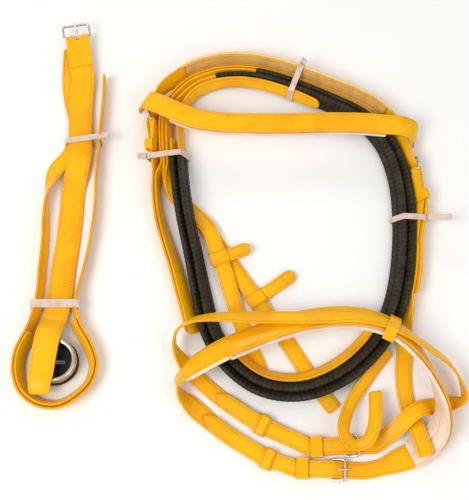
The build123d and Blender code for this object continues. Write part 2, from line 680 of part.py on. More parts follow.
def outermost(points):
    """The points that a loop drawn tight round them all would touch."""
    ordered = sorted(set(points))
    touched = []
    for chain in (ordered, ordered[::-1]):
        side = []
        for x, y in chain:
            while len(side) > 1:
                (x0, y0), (x1, y1) = side[-2:]
                if (x1 - x0) * (y - y0) - (y1 - y0) * (x - x0) > 0:
                    break
                side.pop()
            side.append((x, y))
        touched += side[:-1]
    return touched


def through(place, length, *straps):
    """Corners of straps, given as rings and thickness, at both ends of a stretch about a plane."""
    found = []
    for end in (-length / 2, length / 2):
        for rings, thickness in straps:
            found += crossing_corners(rings, thickness, place.offset(end))
    return outermost(found)


def wrap(place, corners, gap, wall, length):
    """A flat loop drawn tight round everything that crosses a plane."""
    with BuildSketch(place) as section:
        with BuildLine():
            for corner in corners:
                CenterArc(corner, gap + wall, 0, 360)
        make_hull()
    extrude(section.sketch, amount=length / 2, both=True)
    with BuildSketch(place) as section:
        with BuildLine():
            for corner in corners:
                CenterArc(corner, gap, 0, 360)
        make_hull()
    extrude(section.sketch, amount=length, both=True, mode=Mode.SUBTRACT)


def tie_end(place, corners, reach, rise):
    """The knot of a tie, at the outermost corner it goes round, and its loose end."""
    x, y = max(corners)
    foot = x + tie_gap + tie_thickness / 2
    height = y + knot_size / 2
    with BuildSketch(place) as section:
        with Locations((foot + knot_size / 2, height)):
            RectangleRounded(knot_size, knot_size, tie_thickness / 2)
        with BuildLine():
            Polyline((foot + 1, height), (foot + 1, height + tie_thickness),
                     (foot + reach, height + tie_thickness + rise), (foot + reach, height + rise), close=True)
        make_face()
    extrude(section.sketch, amount=tie_width / 2, both=True)


def strap_place(rings, index):
    """The section plane halfway between two rings of a strap."""
    a, b = rings[index].centre, rings[index + 1].centre
    return Plane(origin=(a + b) / 2, x_dir=rings[index].across, z_dir=(b - a).normalized())


def rein_stop(place, reach):
    """A stop that slides on a rein: a band, and a tab with a rounded end beside it."""
    band(place, rein_width, stop_length, keeper_wall)
    edge = rein_width / 2 + layer_gap + keeper_wall / 2
    with BuildSketch(Plane(origin=place.origin, x_dir=place.x_dir, z_dir=place.y_dir)) as section:
        with BuildLine():
            Polyline((-edge, -tab_width / 2), (-edge, tab_width / 2), (-edge, -tab_width / 2))
            CenterArc((-edge - reach + tab_width / 2, 0), tab_width / 2, 0, 360)
        make_hull()
    extrude(section.sketch, amount=strap_thickness / 2, both=True)


def grip_bore(rings):
    """The bore of a rubber grip, in which a rein lies."""
    bore = resized(rings, rein_width)
    strap_body(bore, strap_thickness + 2 * skin_gap, widen=2 * skin_gap, mode=Mode.SUBTRACT)


def tie_plane(place, depth):
    """A plane across the coil at a place: x points out of the coil, y up."""
    x, y, lean_degrees, run = coil_at(place)
    flat_run = Vector(run.X, run.Y, 0).normalized()
    side = up.cross(flat_run)
    return Plane(origin=Vector(x, y, 0) + side * depth - middle, x_dir=side, z_dir=side.cross(up))


os.makedirs("parts", exist_ok=True)

# ---------------------------------------------------------------- reins
with BuildPart() as rein_a:
    strap_body(rein_a_rings, strap_thickness)
rein_a.part.label = "rein_a"
export_step(rein_a.part, "parts/rein_a.step")

with BuildPart() as rein_a_grip:
    strap_body(grip_a_rings, grip_thickness)
    grip_bore(grip_a_rings)
rein_a_grip.part.label = "rein_a_grip"
export_step(rein_a_grip.part, "parts/rein_a_grip.step")

with BuildPart() as rein_b:
    strap_body(rein_b_rings, strap_thickness)
rein_b.part.label = "rein_b"
export_step(rein_b.part, "parts/rein_b.step")

with BuildPart() as rein_b_grip:
    strap_body(grip_b_rings, grip_thickness)
    grip_bore(grip_b_rings)
rein_b_grip.part.label = "rein_b_grip"
export_step(rein_b_grip.part, "parts/rein_b_grip.step")

# ---------------------------------------------------------------- headpiece, throatlatch, cheekpieces
with BuildPart() as headpiece:
    strap_body(headpiece_rings, strap_thickness)
    billet_slot(left_buckle)
    billet_slot(right_buckle)
headpiece.part.label = "headpiece"
export_step(headpiece.part, "parts/headpiece.step")

with BuildPart() as headpiece_padding:
    strap_body(headpiece_pad_rings, padding_thickness)
headpiece_padding.part.label = "headpiece_padding"
export_step(headpiece_padding.part, "parts/headpiece_padding.step")

with BuildPart() as throatlatch:
    strap_body(throatlatch_rings, strap_thickness)
throatlatch.part.label = "throatlatch"
export_step(throatlatch.part, "parts/throatlatch.step")

with BuildPart() as cheekpiece_left:
    strap_body(cheek_left_rings, strap_thickness)
cheekpiece_left.part.label = "cheekpiece_left"
export_step(cheekpiece_left.part, "parts/cheekpiece_left.step")

with BuildPart() as cheekpiece_right:
    strap_body(cheek_right_rings, strap_thickness)
cheekpiece_right.part.label = "cheekpiece_right"
export_step(cheekpiece_right.part, "parts/cheekpiece_right.step")

with BuildPart() as noseband_headstrap:
    strap_body(headstrap_rings, strap_thickness)
noseband_headstrap.part.label = "noseband_headstrap"
export_step(noseband_headstrap.part, "parts/noseband_headstrap.step")

# ---------------------------------------------------------------- noseband, flash strap, browband
with BuildPart() as noseband:
    strap_body(noseband_rings, strap_thickness)
    billet_slot(noseband_buckle)
noseband.part.label = "noseband"
export_step(noseband.part, "parts/noseband.step")

with BuildPart() as flash_strap:
    strap_body(flash_rings, strap_thickness)
    billet_slot(flash_buckle)
flash_strap.part.label = "flash_strap"
export_step(flash_strap.part, "parts/flash_strap.step")

with BuildPart() as browband:
    strap_body(browband_rings, strap_thickness)
browband.part.label = "browband"
export_step(browband.part, "parts/browband.step")

with BuildPart() as browband_padding:
    strap_body(browband_pad_rings, padding_thickness)
browband_padding.part.label = "browband_padding"
export_step(browband_padding.part, "parts/browband_padding.step")

with BuildPart() as bit_loop_strap:
    strap_body(bit_loop_rings, strap_thickness)
bit_loop_strap.part.label = "bit_loop_strap"
export_step(bit_loop_strap.part, "parts/bit_loop_strap.step")

# ---------------------------------------------------------------- buckles and their chapes
with BuildPart() as left_chape:
    chape(left_buckle, cheek_width, keeper=True)
left_chape.part.label = "left_chape"
export_step(left_chape.part, "parts/left_chape.step")

with BuildPart() as left_buckle_frame:
    buckle_frame(left_buckle, cheek_width)
left_buckle_frame.part.label = "left_buckle_frame"
export_step(left_buckle_frame.part, "parts/left_buckle_frame.step")

with BuildPart() as left_buckle_tongue:
    buckle_tongue(left_buckle)
left_buckle_tongue.part.label = "left_buckle_tongue"
export_step(left_buckle_tongue.part, "parts/left_buckle_tongue.step")

with BuildPart() as right_chape:
    chape(right_buckle, cheek_width, keeper=True)
right_chape.part.label = "right_chape"
export_step(right_chape.part, "parts/right_chape.step")

with BuildPart() as right_buckle_frame:
    buckle_frame(right_buckle, cheek_width)
right_buckle_frame.part.label = "right_buckle_frame"
export_step(right_buckle_frame.part, "parts/right_buckle_frame.step")

with BuildPart() as right_buckle_tongue:
    buckle_tongue(right_buckle)
right_buckle_tongue.part.label = "right_buckle_tongue"
export_step(right_buckle_tongue.part, "parts/right_buckle_tongue.step")

with BuildPart() as noseband_chape:
    chape(noseband_buckle, tail_width, keeper=True)
noseband_chape.part.label = "noseband_chape"
export_step(noseband_chape.part, "parts/noseband_chape.step")

with BuildPart() as noseband_buckle_frame:
    buckle_frame(noseband_buckle, tail_width)
noseband_buckle_frame.part.label = "noseband_buckle_frame"
export_step(noseband_buckle_frame.part, "parts/noseband_buckle_frame.step")

with BuildPart() as noseband_buckle_tongue:
    buckle_tongue(noseband_buckle)
noseband_buckle_tongue.part.label = "noseband_buckle_tongue"
export_step(noseband_buckle_tongue.part, "parts/noseband_buckle_tongue.step")

with BuildPart() as flash_chape:
    chape(flash_buckle, flash_width, keeper=True)
flash_chape.part.label = "flash_chape"
export_step(flash_chape.part, "parts/flash_chape.step")

with BuildPart() as flash_buckle_frame:
    buckle_frame(flash_buckle, flash_width)
flash_buckle_frame.part.label = "flash_buckle_frame"
export_step(flash_buckle_frame.part, "parts/flash_buckle_frame.step")

with BuildPart() as flash_buckle_tongue:
    buckle_tongue(flash_buckle)
flash_buckle_tongue.part.label = "flash_buckle_tongue"
export_step(flash_buckle_tongue.part, "parts/flash_buckle_tongue.step")

with BuildPart() as girth_chape:
    chape(girth_buckle, girth_width, keeper=False)
girth_chape.part.label = "girth_chape"
export_step(girth_chape.part, "parts/girth_chape.step")

with BuildPart() as girth_buckle_frame:
    buckle_frame(girth_buckle, girth_width)
girth_buckle_frame.part.label = "girth_buckle_frame"
export_step(girth_buckle_frame.part, "parts/girth_buckle_frame.step")

with BuildPart() as girth_buckle_tongue:
    buckle_tongue(girth_buckle)
girth_buckle_tongue.part.label = "girth_buckle_tongue"
export_step(girth_buckle_tongue.part, "parts/girth_buckle_tongue.step")

# ---------------------------------------------------------------- more of the noseband
with BuildPart() as flash_keeper:
    keeper(27.3, -179.8, 153.4, flash_width)
flash_keeper.part.label = "flash_keeper"
export_step(flash_keeper.part, "parts/flash_keeper.step")

with BuildPart() as noseband_keeper:
    keeper(32.0, -212.1, 157.5, tail_width)
noseband_keeper.part.label = "noseband_keeper"
export_step(noseband_keeper.part, "parts/noseband_keeper.step")

with BuildPart() as noseband_padding:
    strap_body(noseband_pad_rings, padding_thickness)
noseband_padding.part.label = "noseband_padding"
export_step(noseband_padding.part, "parts/noseband_padding.step")

nose_loop_spot = strap_place(flash_middle, len(flash_middle) - 2)
nose_loop_run = nose_loop_spot.z_dir
nose_loop_place = Plane(origin=nose_loop_spot.origin, x_dir=up.cross(nose_loop_run), z_dir=nose_loop_run)
nose_loop_corners = through(
    nose_loop_place, keeper_length, (noseband_rings, strap_thickness), (flash_rings, strap_thickness),
    (noseband_pad_rings, padding_thickness),
)
with BuildPart() as nose_loop:
    wrap(nose_loop_place, nose_loop_corners, layer_gap, keeper_wall, keeper_length)
nose_loop.part.label = "nose_loop"
export_step(nose_loop.part, "parts/nose_loop.step")

# ---------------------------------------------------------------- rein stops
with BuildPart() as rein_a_stop:
    rein_stop(strap_place(rein_a_rings, 5), stop_reach_a)
rein_a_stop.part.label = "rein_a_stop"
export_step(rein_a_stop.part, "parts/rein_a_stop.step")

with BuildPart() as rein_b_stop:
    rein_stop(strap_place(rein_b_rings, 4), stop_reach_b)
rein_b_stop.part.label = "rein_b_stop"
export_step(rein_b_stop.part, "parts/rein_b_stop.step")

# ---------------------------------------------------------------- ties
coil_straps = [
    (rein_a_rings, strap_thickness), (rein_b_rings, strap_thickness),
    (grip_a_rings, grip_thickness), (grip_b_rings, grip_thickness),
    (headpiece_rings, strap_thickness), (throatlatch_rings, strap_thickness),
]
top_tie_place = tie_plane(4.8, 15)
top_tie_corners = through(top_tie_place, tie_width, *coil_straps, (headpiece_pad_rings, padding_thickness))
with BuildPart() as tie_top:
    wrap(top_tie_place, top_tie_corners, tie_gap, tie_thickness, tie_width)
    tie_end(top_tie_place, top_tie_corners, 6, 1)
tie_top.part.label = "tie_top"
export_step(tie_top.part, "parts/tie_top.step")

left_tie_place = tie_plane(-1.45, 15)
left_tie_corners = through(left_tie_place, tie_width, *coil_straps, (cheek_left_rings, strap_thickness))
with BuildPart() as tie_left:
    wrap(left_tie_place, left_tie_corners, tie_gap, tie_thickness, tie_width)
    tie_end(left_tie_place, left_tie_corners, 9, 1)
tie_left.part.label = "tie_left"
export_step(tie_left.part, "parts/tie_left.step")

right_tie_place = tie_plane(10.2, 15)
right_tie_corners = through(right_tie_place, tie_width, *coil_straps, (cheek_right_rings, strap_thickness))
with BuildPart() as tie_right:
    wrap(right_tie_place, right_tie_corners, tie_gap, tie_thickness, tie_width)
    tie_end(right_tie_place, right_tie_corners, 24, 5)
tie_right.part.label = "tie_right"
export_step(tie_right.part, "parts/tie_right.step")

# ---------------------------------------------------------------- martingale
with BuildPart() as girth_strap:
    strap_body(girth_rings, strap_thickness)
girth_strap.part.label = "girth_strap"
export_step(girth_strap.part, "parts/girth_strap.step")

with BuildPart() as fork_strap:
    strap_body(fork_rings, strap_thickness)
fork_strap.part.label = "fork_strap"
export_step(fork_strap.part, "parts/fork_strap.step")

with BuildPart() as neck_strap:
    strap_body(neck_strap_rings, strap_thickness)
neck_strap.part.label = "neck_strap"
export_step(neck_strap.part, "parts/neck_strap.step")

upper_tie_place = Plane(origin=Vector(-160, 119, 0) - middle, x_dir=(1, 0, 0), z_dir=(0, -1, 0))
upper_tie_corners = through(
    upper_tie_place, tie_width, (girth_rings, strap_thickness), (fork_rings, strap_thickness)
)
with BuildPart() as tie_upper:
    wrap(upper_tie_place, upper_tie_corners, tie_gap, tie_thickness, tie_width)
    tie_end(upper_tie_place, upper_tie_corners, 8, 4)
tie_upper.part.label = "tie_upper"
export_step(tie_upper.part, "parts/tie_upper.step")

lower_tie_place = Plane(origin=Vector(-178, -62, 0) - middle, x_dir=(1, 0, 0), z_dir=(0, -1, 0))
lower_tie_corners = through(
    lower_tie_place, lower_tie_width, (girth_rings, strap_thickness), (fork_rings, strap_thickness)
)
with BuildPart() as tie_lower:
    wrap(lower_tie_place, lower_tie_corners, tie_gap, tie_thickness, lower_tie_width)
tie_lower.part.label = "tie_lower"
export_step(tie_lower.part, "parts/tie_lower.step")

with BuildPart() as rubber_stop:
    with Locations(loop_middle):
        Cylinder(rubber_radius, rubber_height, align=(Align.CENTER, Align.CENTER, Align.MIN))
    fillet(rubber_stop.edges(), rubber_height / 4)
    with Locations(loop_middle):
        Box(rubber_slot_length, rubber_slot_width, 3 * rubber_height, mode=Mode.SUBTRACT)
rubber_stop.part.label = "rubber_stop"
export_step(rubber_stop.part, "parts/rubber_stop.step")

with BuildPart() as lower_ring:
    with Locations(loop_middle + up * lower_ring_height):
        Torus(ring_radius, ring_wire / 2)
lower_ring.part.label = "lower_ring"
export_step(lower_ring.part, "parts/lower_ring.step")

with BuildPart() as upper_ring:
    with Locations(loop_middle + up * upper_ring_height):
        Torus(ring_radius, ring_wire / 2)
upper_ring.part.label = "upper_ring"
export_step(upper_ring.part, "parts/upper_ring.step")
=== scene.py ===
import logging
from dataclasses import dataclass, field
from enum import Enum
from math import ceil, cos, floor, hypot, pi, radians, sin, sqrt
from typing import Callable, Iterable, Sequence, Union

import bpy
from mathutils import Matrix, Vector


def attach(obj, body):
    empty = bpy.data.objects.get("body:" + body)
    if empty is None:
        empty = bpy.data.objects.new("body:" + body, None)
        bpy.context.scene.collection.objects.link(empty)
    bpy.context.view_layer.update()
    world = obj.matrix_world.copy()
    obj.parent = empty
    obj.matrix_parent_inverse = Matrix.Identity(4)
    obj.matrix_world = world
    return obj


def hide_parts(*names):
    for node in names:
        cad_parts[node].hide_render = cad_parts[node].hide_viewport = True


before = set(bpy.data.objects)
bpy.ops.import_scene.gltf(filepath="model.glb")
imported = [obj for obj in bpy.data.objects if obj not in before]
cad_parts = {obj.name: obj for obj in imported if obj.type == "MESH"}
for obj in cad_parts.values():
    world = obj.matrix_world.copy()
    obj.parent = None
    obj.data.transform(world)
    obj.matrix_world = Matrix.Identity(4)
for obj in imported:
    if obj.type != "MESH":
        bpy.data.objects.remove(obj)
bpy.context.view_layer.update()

# A snaffle bridle, folded and tied up, and its running martingale, tied up beside it.
# Lengths are in millimetres and are turned into metres where a mesh is made.
# +Z is up, +X runs to the bridle's right and +Y to its headpiece.

MM = 0.001
UP = Vector((0.0, 0.0, 1.0))
MIDDLE = Vector((3.3, 11.7, 0.0))
log = logging.getLogger("bridle")

Row = Sequence[float]
Number = Union[float, Callable[[float], float]]


# ---------------------------------------------------------------- sizes
@dataclass(frozen=True)
class Sizes:
    """Widths, thicknesses and gaps that every strap of the bridle shares."""

    strap: float = 3.0
    rein: float = 16.0
    cheek: float = 16.0
    grip: float = 19.0
    grip_thickness: float = 5.2
    headpiece: float = 24.0
    noseband: float = 25.0
    flash: float = 16.0
    browband: float = 22.0
    padding: float = 4.6
    padding_rim: float = 2.4
    girth: float = 25.0
    fork: float = 17.0
    loop: float = 14.0
    tail: float = 16.0
    wire: float = 2.4
    tongue_wire: float = 2.0
    buckle_length: float = 14.0
    keeper_length: float = 11.0
    keeper_wall: float = 1.5
    stop_length: float = 15.0
    stop_reach_a: float = 24.0
    stop_reach_b: float = 38.0
    tab: float = 14.0
    ring_radius: float = 19.5
    ring_wire: float = 5.0
    rubber_height: float = 7.0
    tie_thickness: float = 1.2
    tie_gap: float = 0.3
    gap: float = 0.4
    skin: float = 0.08
    lining: float = 0.15
    pin: float = 0.05

    @property
    def layer(self) -> float:
        """The rise from one strap to the next that lies on it."""
        return self.strap + self.gap

    @property
    def tied_rest(self) -> float:
        """The height of a strap's lowest edge where a tie passes under it."""
        return self.tie_thickness + self.tie_gap

    @property
    def crossing_rest(self) -> float:
        """The height of the coil where the reins and a cheekpiece pass under it."""
        return 2 * self.layer + 3.8

    @property
    def eye_radius(self) -> float:
        """The outer radius of a strap's fold round a heel bar."""
        return self.wire / 2 + self.pin + 1.9


SIZES = Sizes()


# ---------------------------------------------------------------- routes
@dataclass
class Ring:
    """One cross-section of a strap.

    Args:
        centre: The middle of the section.
        across: The way that the strap's width points.
        width: The strap's width there.
        run: The way that the strap runs, or None to take it from its neighbours.
    """

    centre: Vector
    across: Vector
    width: float
    run: Vector | None = None


@dataclass
class Slice:
    """A cross-section with its own axes, ready to be drawn.

    Args:
        centre: The middle of the section.
        across: The unit vector along its width.
        face: The unit vector out of its top face.
        run: The unit vector along the strap.
        width: The strap's width there.
        along: The distance from the strap's start.
    """

    centre: Vector
    across: Vector
    face: Vector
    run: Vector
    width: float
    along: float = 0.0

    def point(self, x: float, y: float, z: float = 0.0) -> Vector:
        """A point x along the width, y out of the face and z along the strap."""
        return self.centre + self.across * x + self.face * y + self.run * z


def slope_between(
    before: float, after: float, gap_before: float | None, gap_after: float | None, steady: bool
) -> float:
    """Slope at a station from the slopes on both sides of it.

    Args:
        before: The slope of the stretch before.
        after: The slope of the stretch after.
        gap_before: The length of the stretch before, or None at the start.
        gap_after: The length of the stretch after, or None at the end.
        steady: True for a value that may never overshoot.

    Returns:
        The slope.
    """
    if gap_before is None:
        return after
    if gap_after is None:
        return before
    if steady and before * after <= 0:
        return 0.0
    slope = (before * gap_after + after * gap_before) / (gap_before + gap_after)
    if steady:
        limit = 3 * min(abs(before), abs(after))
        slope = max(-limit, min(limit, slope))
    return slope


def row_slopes(rows: Sequence[Row], gaps: Sequence[float], steady_from: int) -> list[list[float]]:
    """Slopes of every value at every row.

    Args:
        rows: Rows of values, in order.
        gaps: The distance from each row to the next.
        steady_from: The first value that may never overshoot.

    Returns:
        One list of slopes for each row.
    """
    slopes = []
    for i, row in enumerate(rows):
        gap_before = gaps[i - 1] if i > 0 else None
        gap_after = gaps[i] if i < len(gaps) else None
        line = []
        for k, value in enumerate(row):
            before = (value - rows[i - 1][k]) / gap_before if gap_before else 0.0
            after = (rows[i + 1][k] - value) / gap_after if gap_after else 0.0
            line.append(slope_between(before, after, gap_before, gap_after, k >= steady_from))
        slopes.append(line)
    return slopes


def blended(start: Row, end: Row, leave: Row, reach: Row, gap: float, f: float) -> tuple[float, ...]:
    """The row at a fraction of the way between two rows.

    Args:
        start: The row at the start.
        end: The row at the end.
        leave: The slopes at the start.
        reach: The slopes at the end.
        gap: The distance between the rows.
        f: The fraction, from 0 to 1.

    Returns:
        The row there.
    """
    h00 = 2 * f**3 - 3 * f**2 + 1
    h10 = f**3 - 2 * f**2 + f
    h01 = 3 * f**2 - 2 * f**3
    h11 = f**3 - f**2
    return tuple(
        h00 * start[k] + h10 * gap * leave[k] + h01 * end[k] + h11 * gap * reach[k] for k in range(len(start))
    )


def refine(
    stations: Sequence[Row], steady_from: int = 2, turn_step: float = 9.0, lean_step: float = 12.0
) -> list[Row]:
    """Stations put between the given ones, on a smooth line through all of them.

    Args:
        stations: Rows that start with x and y and have a lean in fourth place.
        steady_from: The first value that may never overshoot.
        turn_step: The most that the line turns from one station to the next, in degrees.
        lean_step: The most that the lean changes from one station to the next, in degrees.

    Returns:
        The finer stations.
    """
    gaps = [hypot(b[0] - a[0], b[1] - a[1]) for a, b in zip(stations, stations[1:])]
    slopes = row_slopes(stations, gaps, steady_from)
    fine: list[Row] = []
    for i, gap in enumerate(gaps):
        start, end = stations[i], stations[i + 1]
        chord = Vector((end[0] - start[0], end[1] - start[1], 0.0))
        leave = Vector((slopes[i][0], slopes[i][1], 0.0))
        reach = Vector((slopes[i + 1][0], slopes[i + 1][1], 0.0))
        turn = (leave.angle(chord, 0.0) + chord.angle(reach, 0.0)) * 180 / pi
        pieces = max(1, ceil(turn / turn_step - 1e-9), ceil(abs(end[3] - start[3]) / lean_step - 1e-9))
        for step in range(pieces):
            fine.append(blended(start, end, slopes[i], slopes[i + 1], gap, step / pieces))
    fine.append(stations[-1])
    return fine


def headings(points: Sequence[Vector]) -> list[Vector]:
    """Unit vectors along a line of points."""
    runs = []
    for i in range(len(points)):
        ahead = points[min(i + 1, len(points) - 1)]
        behind = points[max(i - 1, 0)]
        runs.append((ahead - behind).normalized())
    return runs


def lean_rings(stations: Sequence[Row], thickness: float = SIZES.strap) -> list[Ring]:
    """Rings of a strap that lies along stations of x, y, rest height, lean and width.

    Args:
        stations: The stations. The lean turns the width from level through upright to level.
        thickness: The strap's thickness.

    Returns:
        The rings.
    """
    fine = refine(stations)
    flat = [Vector((s[0], s[1], 0.0)) for s in fine]
    rings = []
    for station, run in zip(fine, headings(flat)):
        lean = radians(station[3])
        width = station[4]
        height = station[2] + width / 2 * abs(sin(lean)) + thickness / 2 * abs(cos(lean))
        across = UP.cross(run) * cos(lean) + UP * sin(lean)
        rings.append(Ring(Vector((station[0], station[1], height)) - MIDDLE, across, width))
    return rings


def slices(rings: Sequence[Ring]) -> list[Slice]:
    """Rings with all their axes."""
    runs = headings([ring.centre for ring in rings])
    result = []
    for ring, heading in zip(rings, runs):
        run = ring.run or heading
        across = (ring.across - run * ring.across.dot(run)).normalized()
        result.append(Slice(ring.centre.copy(), across, run.cross(across), run.copy(), ring.width))
    return result


def beside(
    rings: Sequence[Ring], distance: float, slide: float = 0.0, width: float | None = None
) -> list[Ring]:
    """Rings of a strap that lies against another one, on the side that its top face has.

    Args:
        rings: The rings of the strap that it lies against.
        distance: The distance between the middles of the two.
        slide: The shift along the width.
        width: The new strap's width, or None for the same.

    Returns:
        The rings.
    """
    copies = []
    for ring, place in zip(rings, slices(rings)):
        centre = place.point(slide, distance)
        copies.append(Ring(centre, place.across, width or ring.width, place.run))
    return copies


def flipped(rings: Sequence[Ring]) -> list[Ring]:
    """The same rings with their width pointing the other way."""
    return [Ring(ring.centre, -ring.across, ring.width) for ring in rings]


def resized(rings: Sequence[Ring], width: float) -> list[Ring]:
    """The same rings with another width."""
    return [Ring(ring.centre, ring.across, width) for ring in rings]


def smooth(rings: Sequence[Ring], step: float = 2.6, ends: Sequence[float] = ()) -> list[Slice]:
    """Slices close together, on a smooth line through rings.

    Args:
        rings: The rings.
        step: The distance between slices.
        ends: Distances from both ends at which there are slices too.

    Returns:
        The slices, with their distance along the strap.
    """
    coarse = slices(rings)
    gaps = [(b.centre - a.centre).length for a, b in zip(coarse, coarse[1:])]
    rows = [(*s.centre, *s.across, *s.face, s.width) for s in coarse]
    slopes = row_slopes(rows, gaps, 9)
    total = sum(gaps)
    count = max(1, round(total / step))
    marks = {round(total * k / count, 4) for k in range(count + 1)}
    reach = max(ends, default=0.0)
    marks = {m for m in marks if reach < m < total - reach}
    marks |= {round(d, 4) for d in ends} | {round(total - d, 4) for d in ends} | {0.0, round(total, 4)}
    result = []
    passed, i = 0.0, 0
    for mark in sorted(marks):
        while i < len(gaps) - 1 and mark > passed + gaps[i]:
            passed += gaps[i]
            i += 1
        f = min(1.0, max(0.0, (mark - passed) / gaps[i]))
        row = blended(rows[i], rows[i + 1], slopes[i], slopes[i + 1], gaps[i], f)
        across = Vector(row[3:6]).normalized()
        face = Vector(row[6:9])
        face = (face - across * face.dot(across)).normalized()
        result.append(Slice(Vector(row[0:3]), across, face, across.cross(face), row[9], mark))
    return result


def steps(*anchors: tuple[float, float]) -> Callable[[float], float]:
    """A function of the place along the coil that goes smoothly through pairs of place and value."""

    def value(place: float) -> float:
        """The value at a place."""
        if place <= anchors[0][0]:
            return anchors[0][1]
        for (u0, v0), (u1, v1) in zip(anchors, anchors[1:]):
            if place <= u1:
                f = (place - u0) / (u1 - u0)
                return v0 + (v1 - v0) * f * f * (3 - 2 * f)
        return anchors[-1][1]

    return value


class Coil:
    """The coil that the reins make, and the lanes beside it."""

    line: tuple[Row, ...] = (
        (-49, 150, 0, 66), (-39.5, 168.5, 1, 69), (-19, 179.5, 2, 72), (5, 182.5, 3, 73), (33, 178, 4, 73),
        (65, 165.5, 5, 71), (98, 149, 6, 67), (126, 131.5, 7, 62), (146, 107, 8, 57), (157, 76, 9, 54),
        (160, 38, 10, 53), (158, 0, 11, 53), (152, -37, 12, 52), (141, -70, 13, 51), (120, -99, 14, 50),
        (93, -120, 15, 49), (62, -131, 16, 49), (33, -128, 17, 50), (9, -112, 18, 52), (-9, -86, 19, 55),
        (-20, -49, 20, 59), (-30, -6, 21, 63), (-40, 38, 22, 65), (-46, 80, 23, 66), (-49, 117, 24, 66),
    )
    grip_a_start = 2.05
    grip_b_start = 3.55
    grip_end = 23.65
    rein_b_end = 24.1

    def __init__(self) -> None:
        """Lays the coil's line out, a turn before and a turn after included."""
        places = len(self.line)
        turns = [
            (x, y, u + turn * places, lean) for turn in (-1, 0, 1) for x, y, u, lean in self.line
        ]
        self.fine = refine(turns, steady_from=3)
        self.runs = headings([Vector((s[0], s[1], 0.0)) for s in self.fine])
        self.marks = [
            mark + turn * places
            for mark in (self.grip_a_start, self.grip_b_start, self.grip_end, self.rein_b_end)
            for turn in (-1, 0, 1)
        ]
        self.rest = steps(
            (-2.3, SIZES.crossing_rest), (-1.7, SIZES.tied_rest), (13.4, SIZES.tied_rest),
            (14.8, SIZES.layer), (17.8, SIZES.layer), (19.5, SIZES.tied_rest), (20.8, SIZES.tied_rest),
            (21.5, SIZES.crossing_rest),
            (22.85, SIZES.crossing_rest), (23.3, SIZES.tied_rest),
        )

    def at(self, place: float) -> tuple[float, float, float, Vector]:
        """x, y, lean and heading of the coil's line at a place."""
        for i in range(len(self.fine) - 1):
            a, b = self.fine[i], self.fine[i + 1]
            if a[2] <= place <= b[2]:
                f = (place - a[2]) / (b[2] - a[2])
                run = (self.runs[i] * (1 - f) + self.runs[i + 1] * f).normalized()
                return a[0] + (b[0] - a[0]) * f, a[1] + (b[1] - a[1]) * f, a[3] + (b[3] - a[3]) * f, run
        raise ValueError("no such place on the coil")

    def lane_ring(
        self, place: float, depth: float, thickness: float, width: float, rest: float | None = None
    ) -> Ring:
        """Ring of a strap that stands in the coil.

        Args:
            place: The place along the coil.
            depth: How far outside the coil's line its middle plane is.
            thickness: Its thickness.
            width: Its width.
            rest: The height of its lowest edge, or None for the coil's own.

        Returns:
            The ring.
        """
        x, y, lean_degrees, run = self.at(place)
        lean = radians(lean_degrees)
        if rest is None:
            rest = self.rest(place)
        height = rest + width / 2 * sin(lean) + thickness / 2 * cos(lean)
        outward = (depth + (height - self.rest(place)) * cos(lean)) / sin(lean)
        side = UP.cross(run)
        centre = Vector((x, y, height)) + side * outward - MIDDLE
        return Ring(centre, side * cos(lean) + UP * sin(lean), width)

    def lane(self, start: float, end: float, depth: Number, thickness: float, width: float) -> list[Ring]:
        """Rings along the coil from one place to another.

        Args:
            start: The first place.
            end: The last place.
            depth: How far outside the coil's line, as a number or a function of the place.
            thickness: The strap's thickness.
            width: The strap's width.

        Returns:
            The rings.
        """
        inner = [u for u in (s[2] for s in self.fine) if all(abs(u - mark) > 0.08 for mark in self.marks)]
        places = sorted(u for u in inner + self.marks if start + 0.04 < u < end - 0.04)
        rings = []
        for place in [start] + places + [end]:
            d = depth(place) if callable(depth) else depth
            rings.append(self.lane_ring(place, d, thickness, width))
        return rings


@dataclass(frozen=True)
class BucklePlace:
    """The axes of one buckle.

    Args:
        origin: The foot of its heel bar, on the underside of the strap.
        nose: The unit vector from the heel bar to the nose.
        side: The unit vector along the heel bar.
        lift: The unit vector out of the strap.
    """

    origin: Vector
    nose: Vector
    side: Vector
    lift: Vector

    @classmethod
    def of(cls, origin: Vector, nose: Vector, lift: Vector) -> "BucklePlace":
        """Axes from an origin, the nose's way and the way out of the strap."""
        nose = nose.normalized()
        lift = lift.normalized()
        return cls(origin, nose, lift.cross(nose), lift)

    @classmethod
    def in_lane(cls, coil: Coil, place: float, depth: float, rest: float, turned: bool) -> "BucklePlace":
        """A buckle on a strap of the coil.

        Args:
            coil: The coil.
            place: The place along it.
            depth: The depth of the strap's middle plane.
            rest: The height of the strap's lowest edge.
            turned: True if the nose points back along the coil.

        Returns:
            The buckle's axes.
        """
        ring = coil.lane_ring(place, depth, SIZES.strap, SIZES.cheek, rest)
        run = coil.at(place)[3]
        inward = run.cross(ring.across)
        return cls.of(ring.centre + inward * (SIZES.strap / 2), -run if turned else run, -inward)

    @classmethod
    def on_floor(cls, x: float, y: float, angle: float) -> "BucklePlace":
        """A buckle that lies flat, its nose at an angle from +X."""
        nose = Vector((cos(radians(angle)), sin(radians(angle)), 0.0))
        return cls.of(Vector((x, y, 0.0)) - MIDDLE, nose, UP)

    def point(self, a: float, b: float, c: float) -> Vector:
        """A point a towards the nose, b along the heel bar and c out of the strap."""
        return self.origin + self.nose * a + self.side * b + self.lift * c

    def rings(self, path: Iterable[tuple[float, float]], width: float) -> list[Ring]:
        """Rings at points given along the nose's way and out of the strap."""
        return [Ring(self.point(a, 0, c), self.side.copy(), width) for a, c in path]

    def joint(self, width: float, side: float = -1.0) -> list[Ring]:
        """The ring at which a strap leaves the end of the buckle's chape."""
        return [Ring(self.point(-34.05, 0, SIZES.strap / 2), self.side * side, width, -self.nose)]


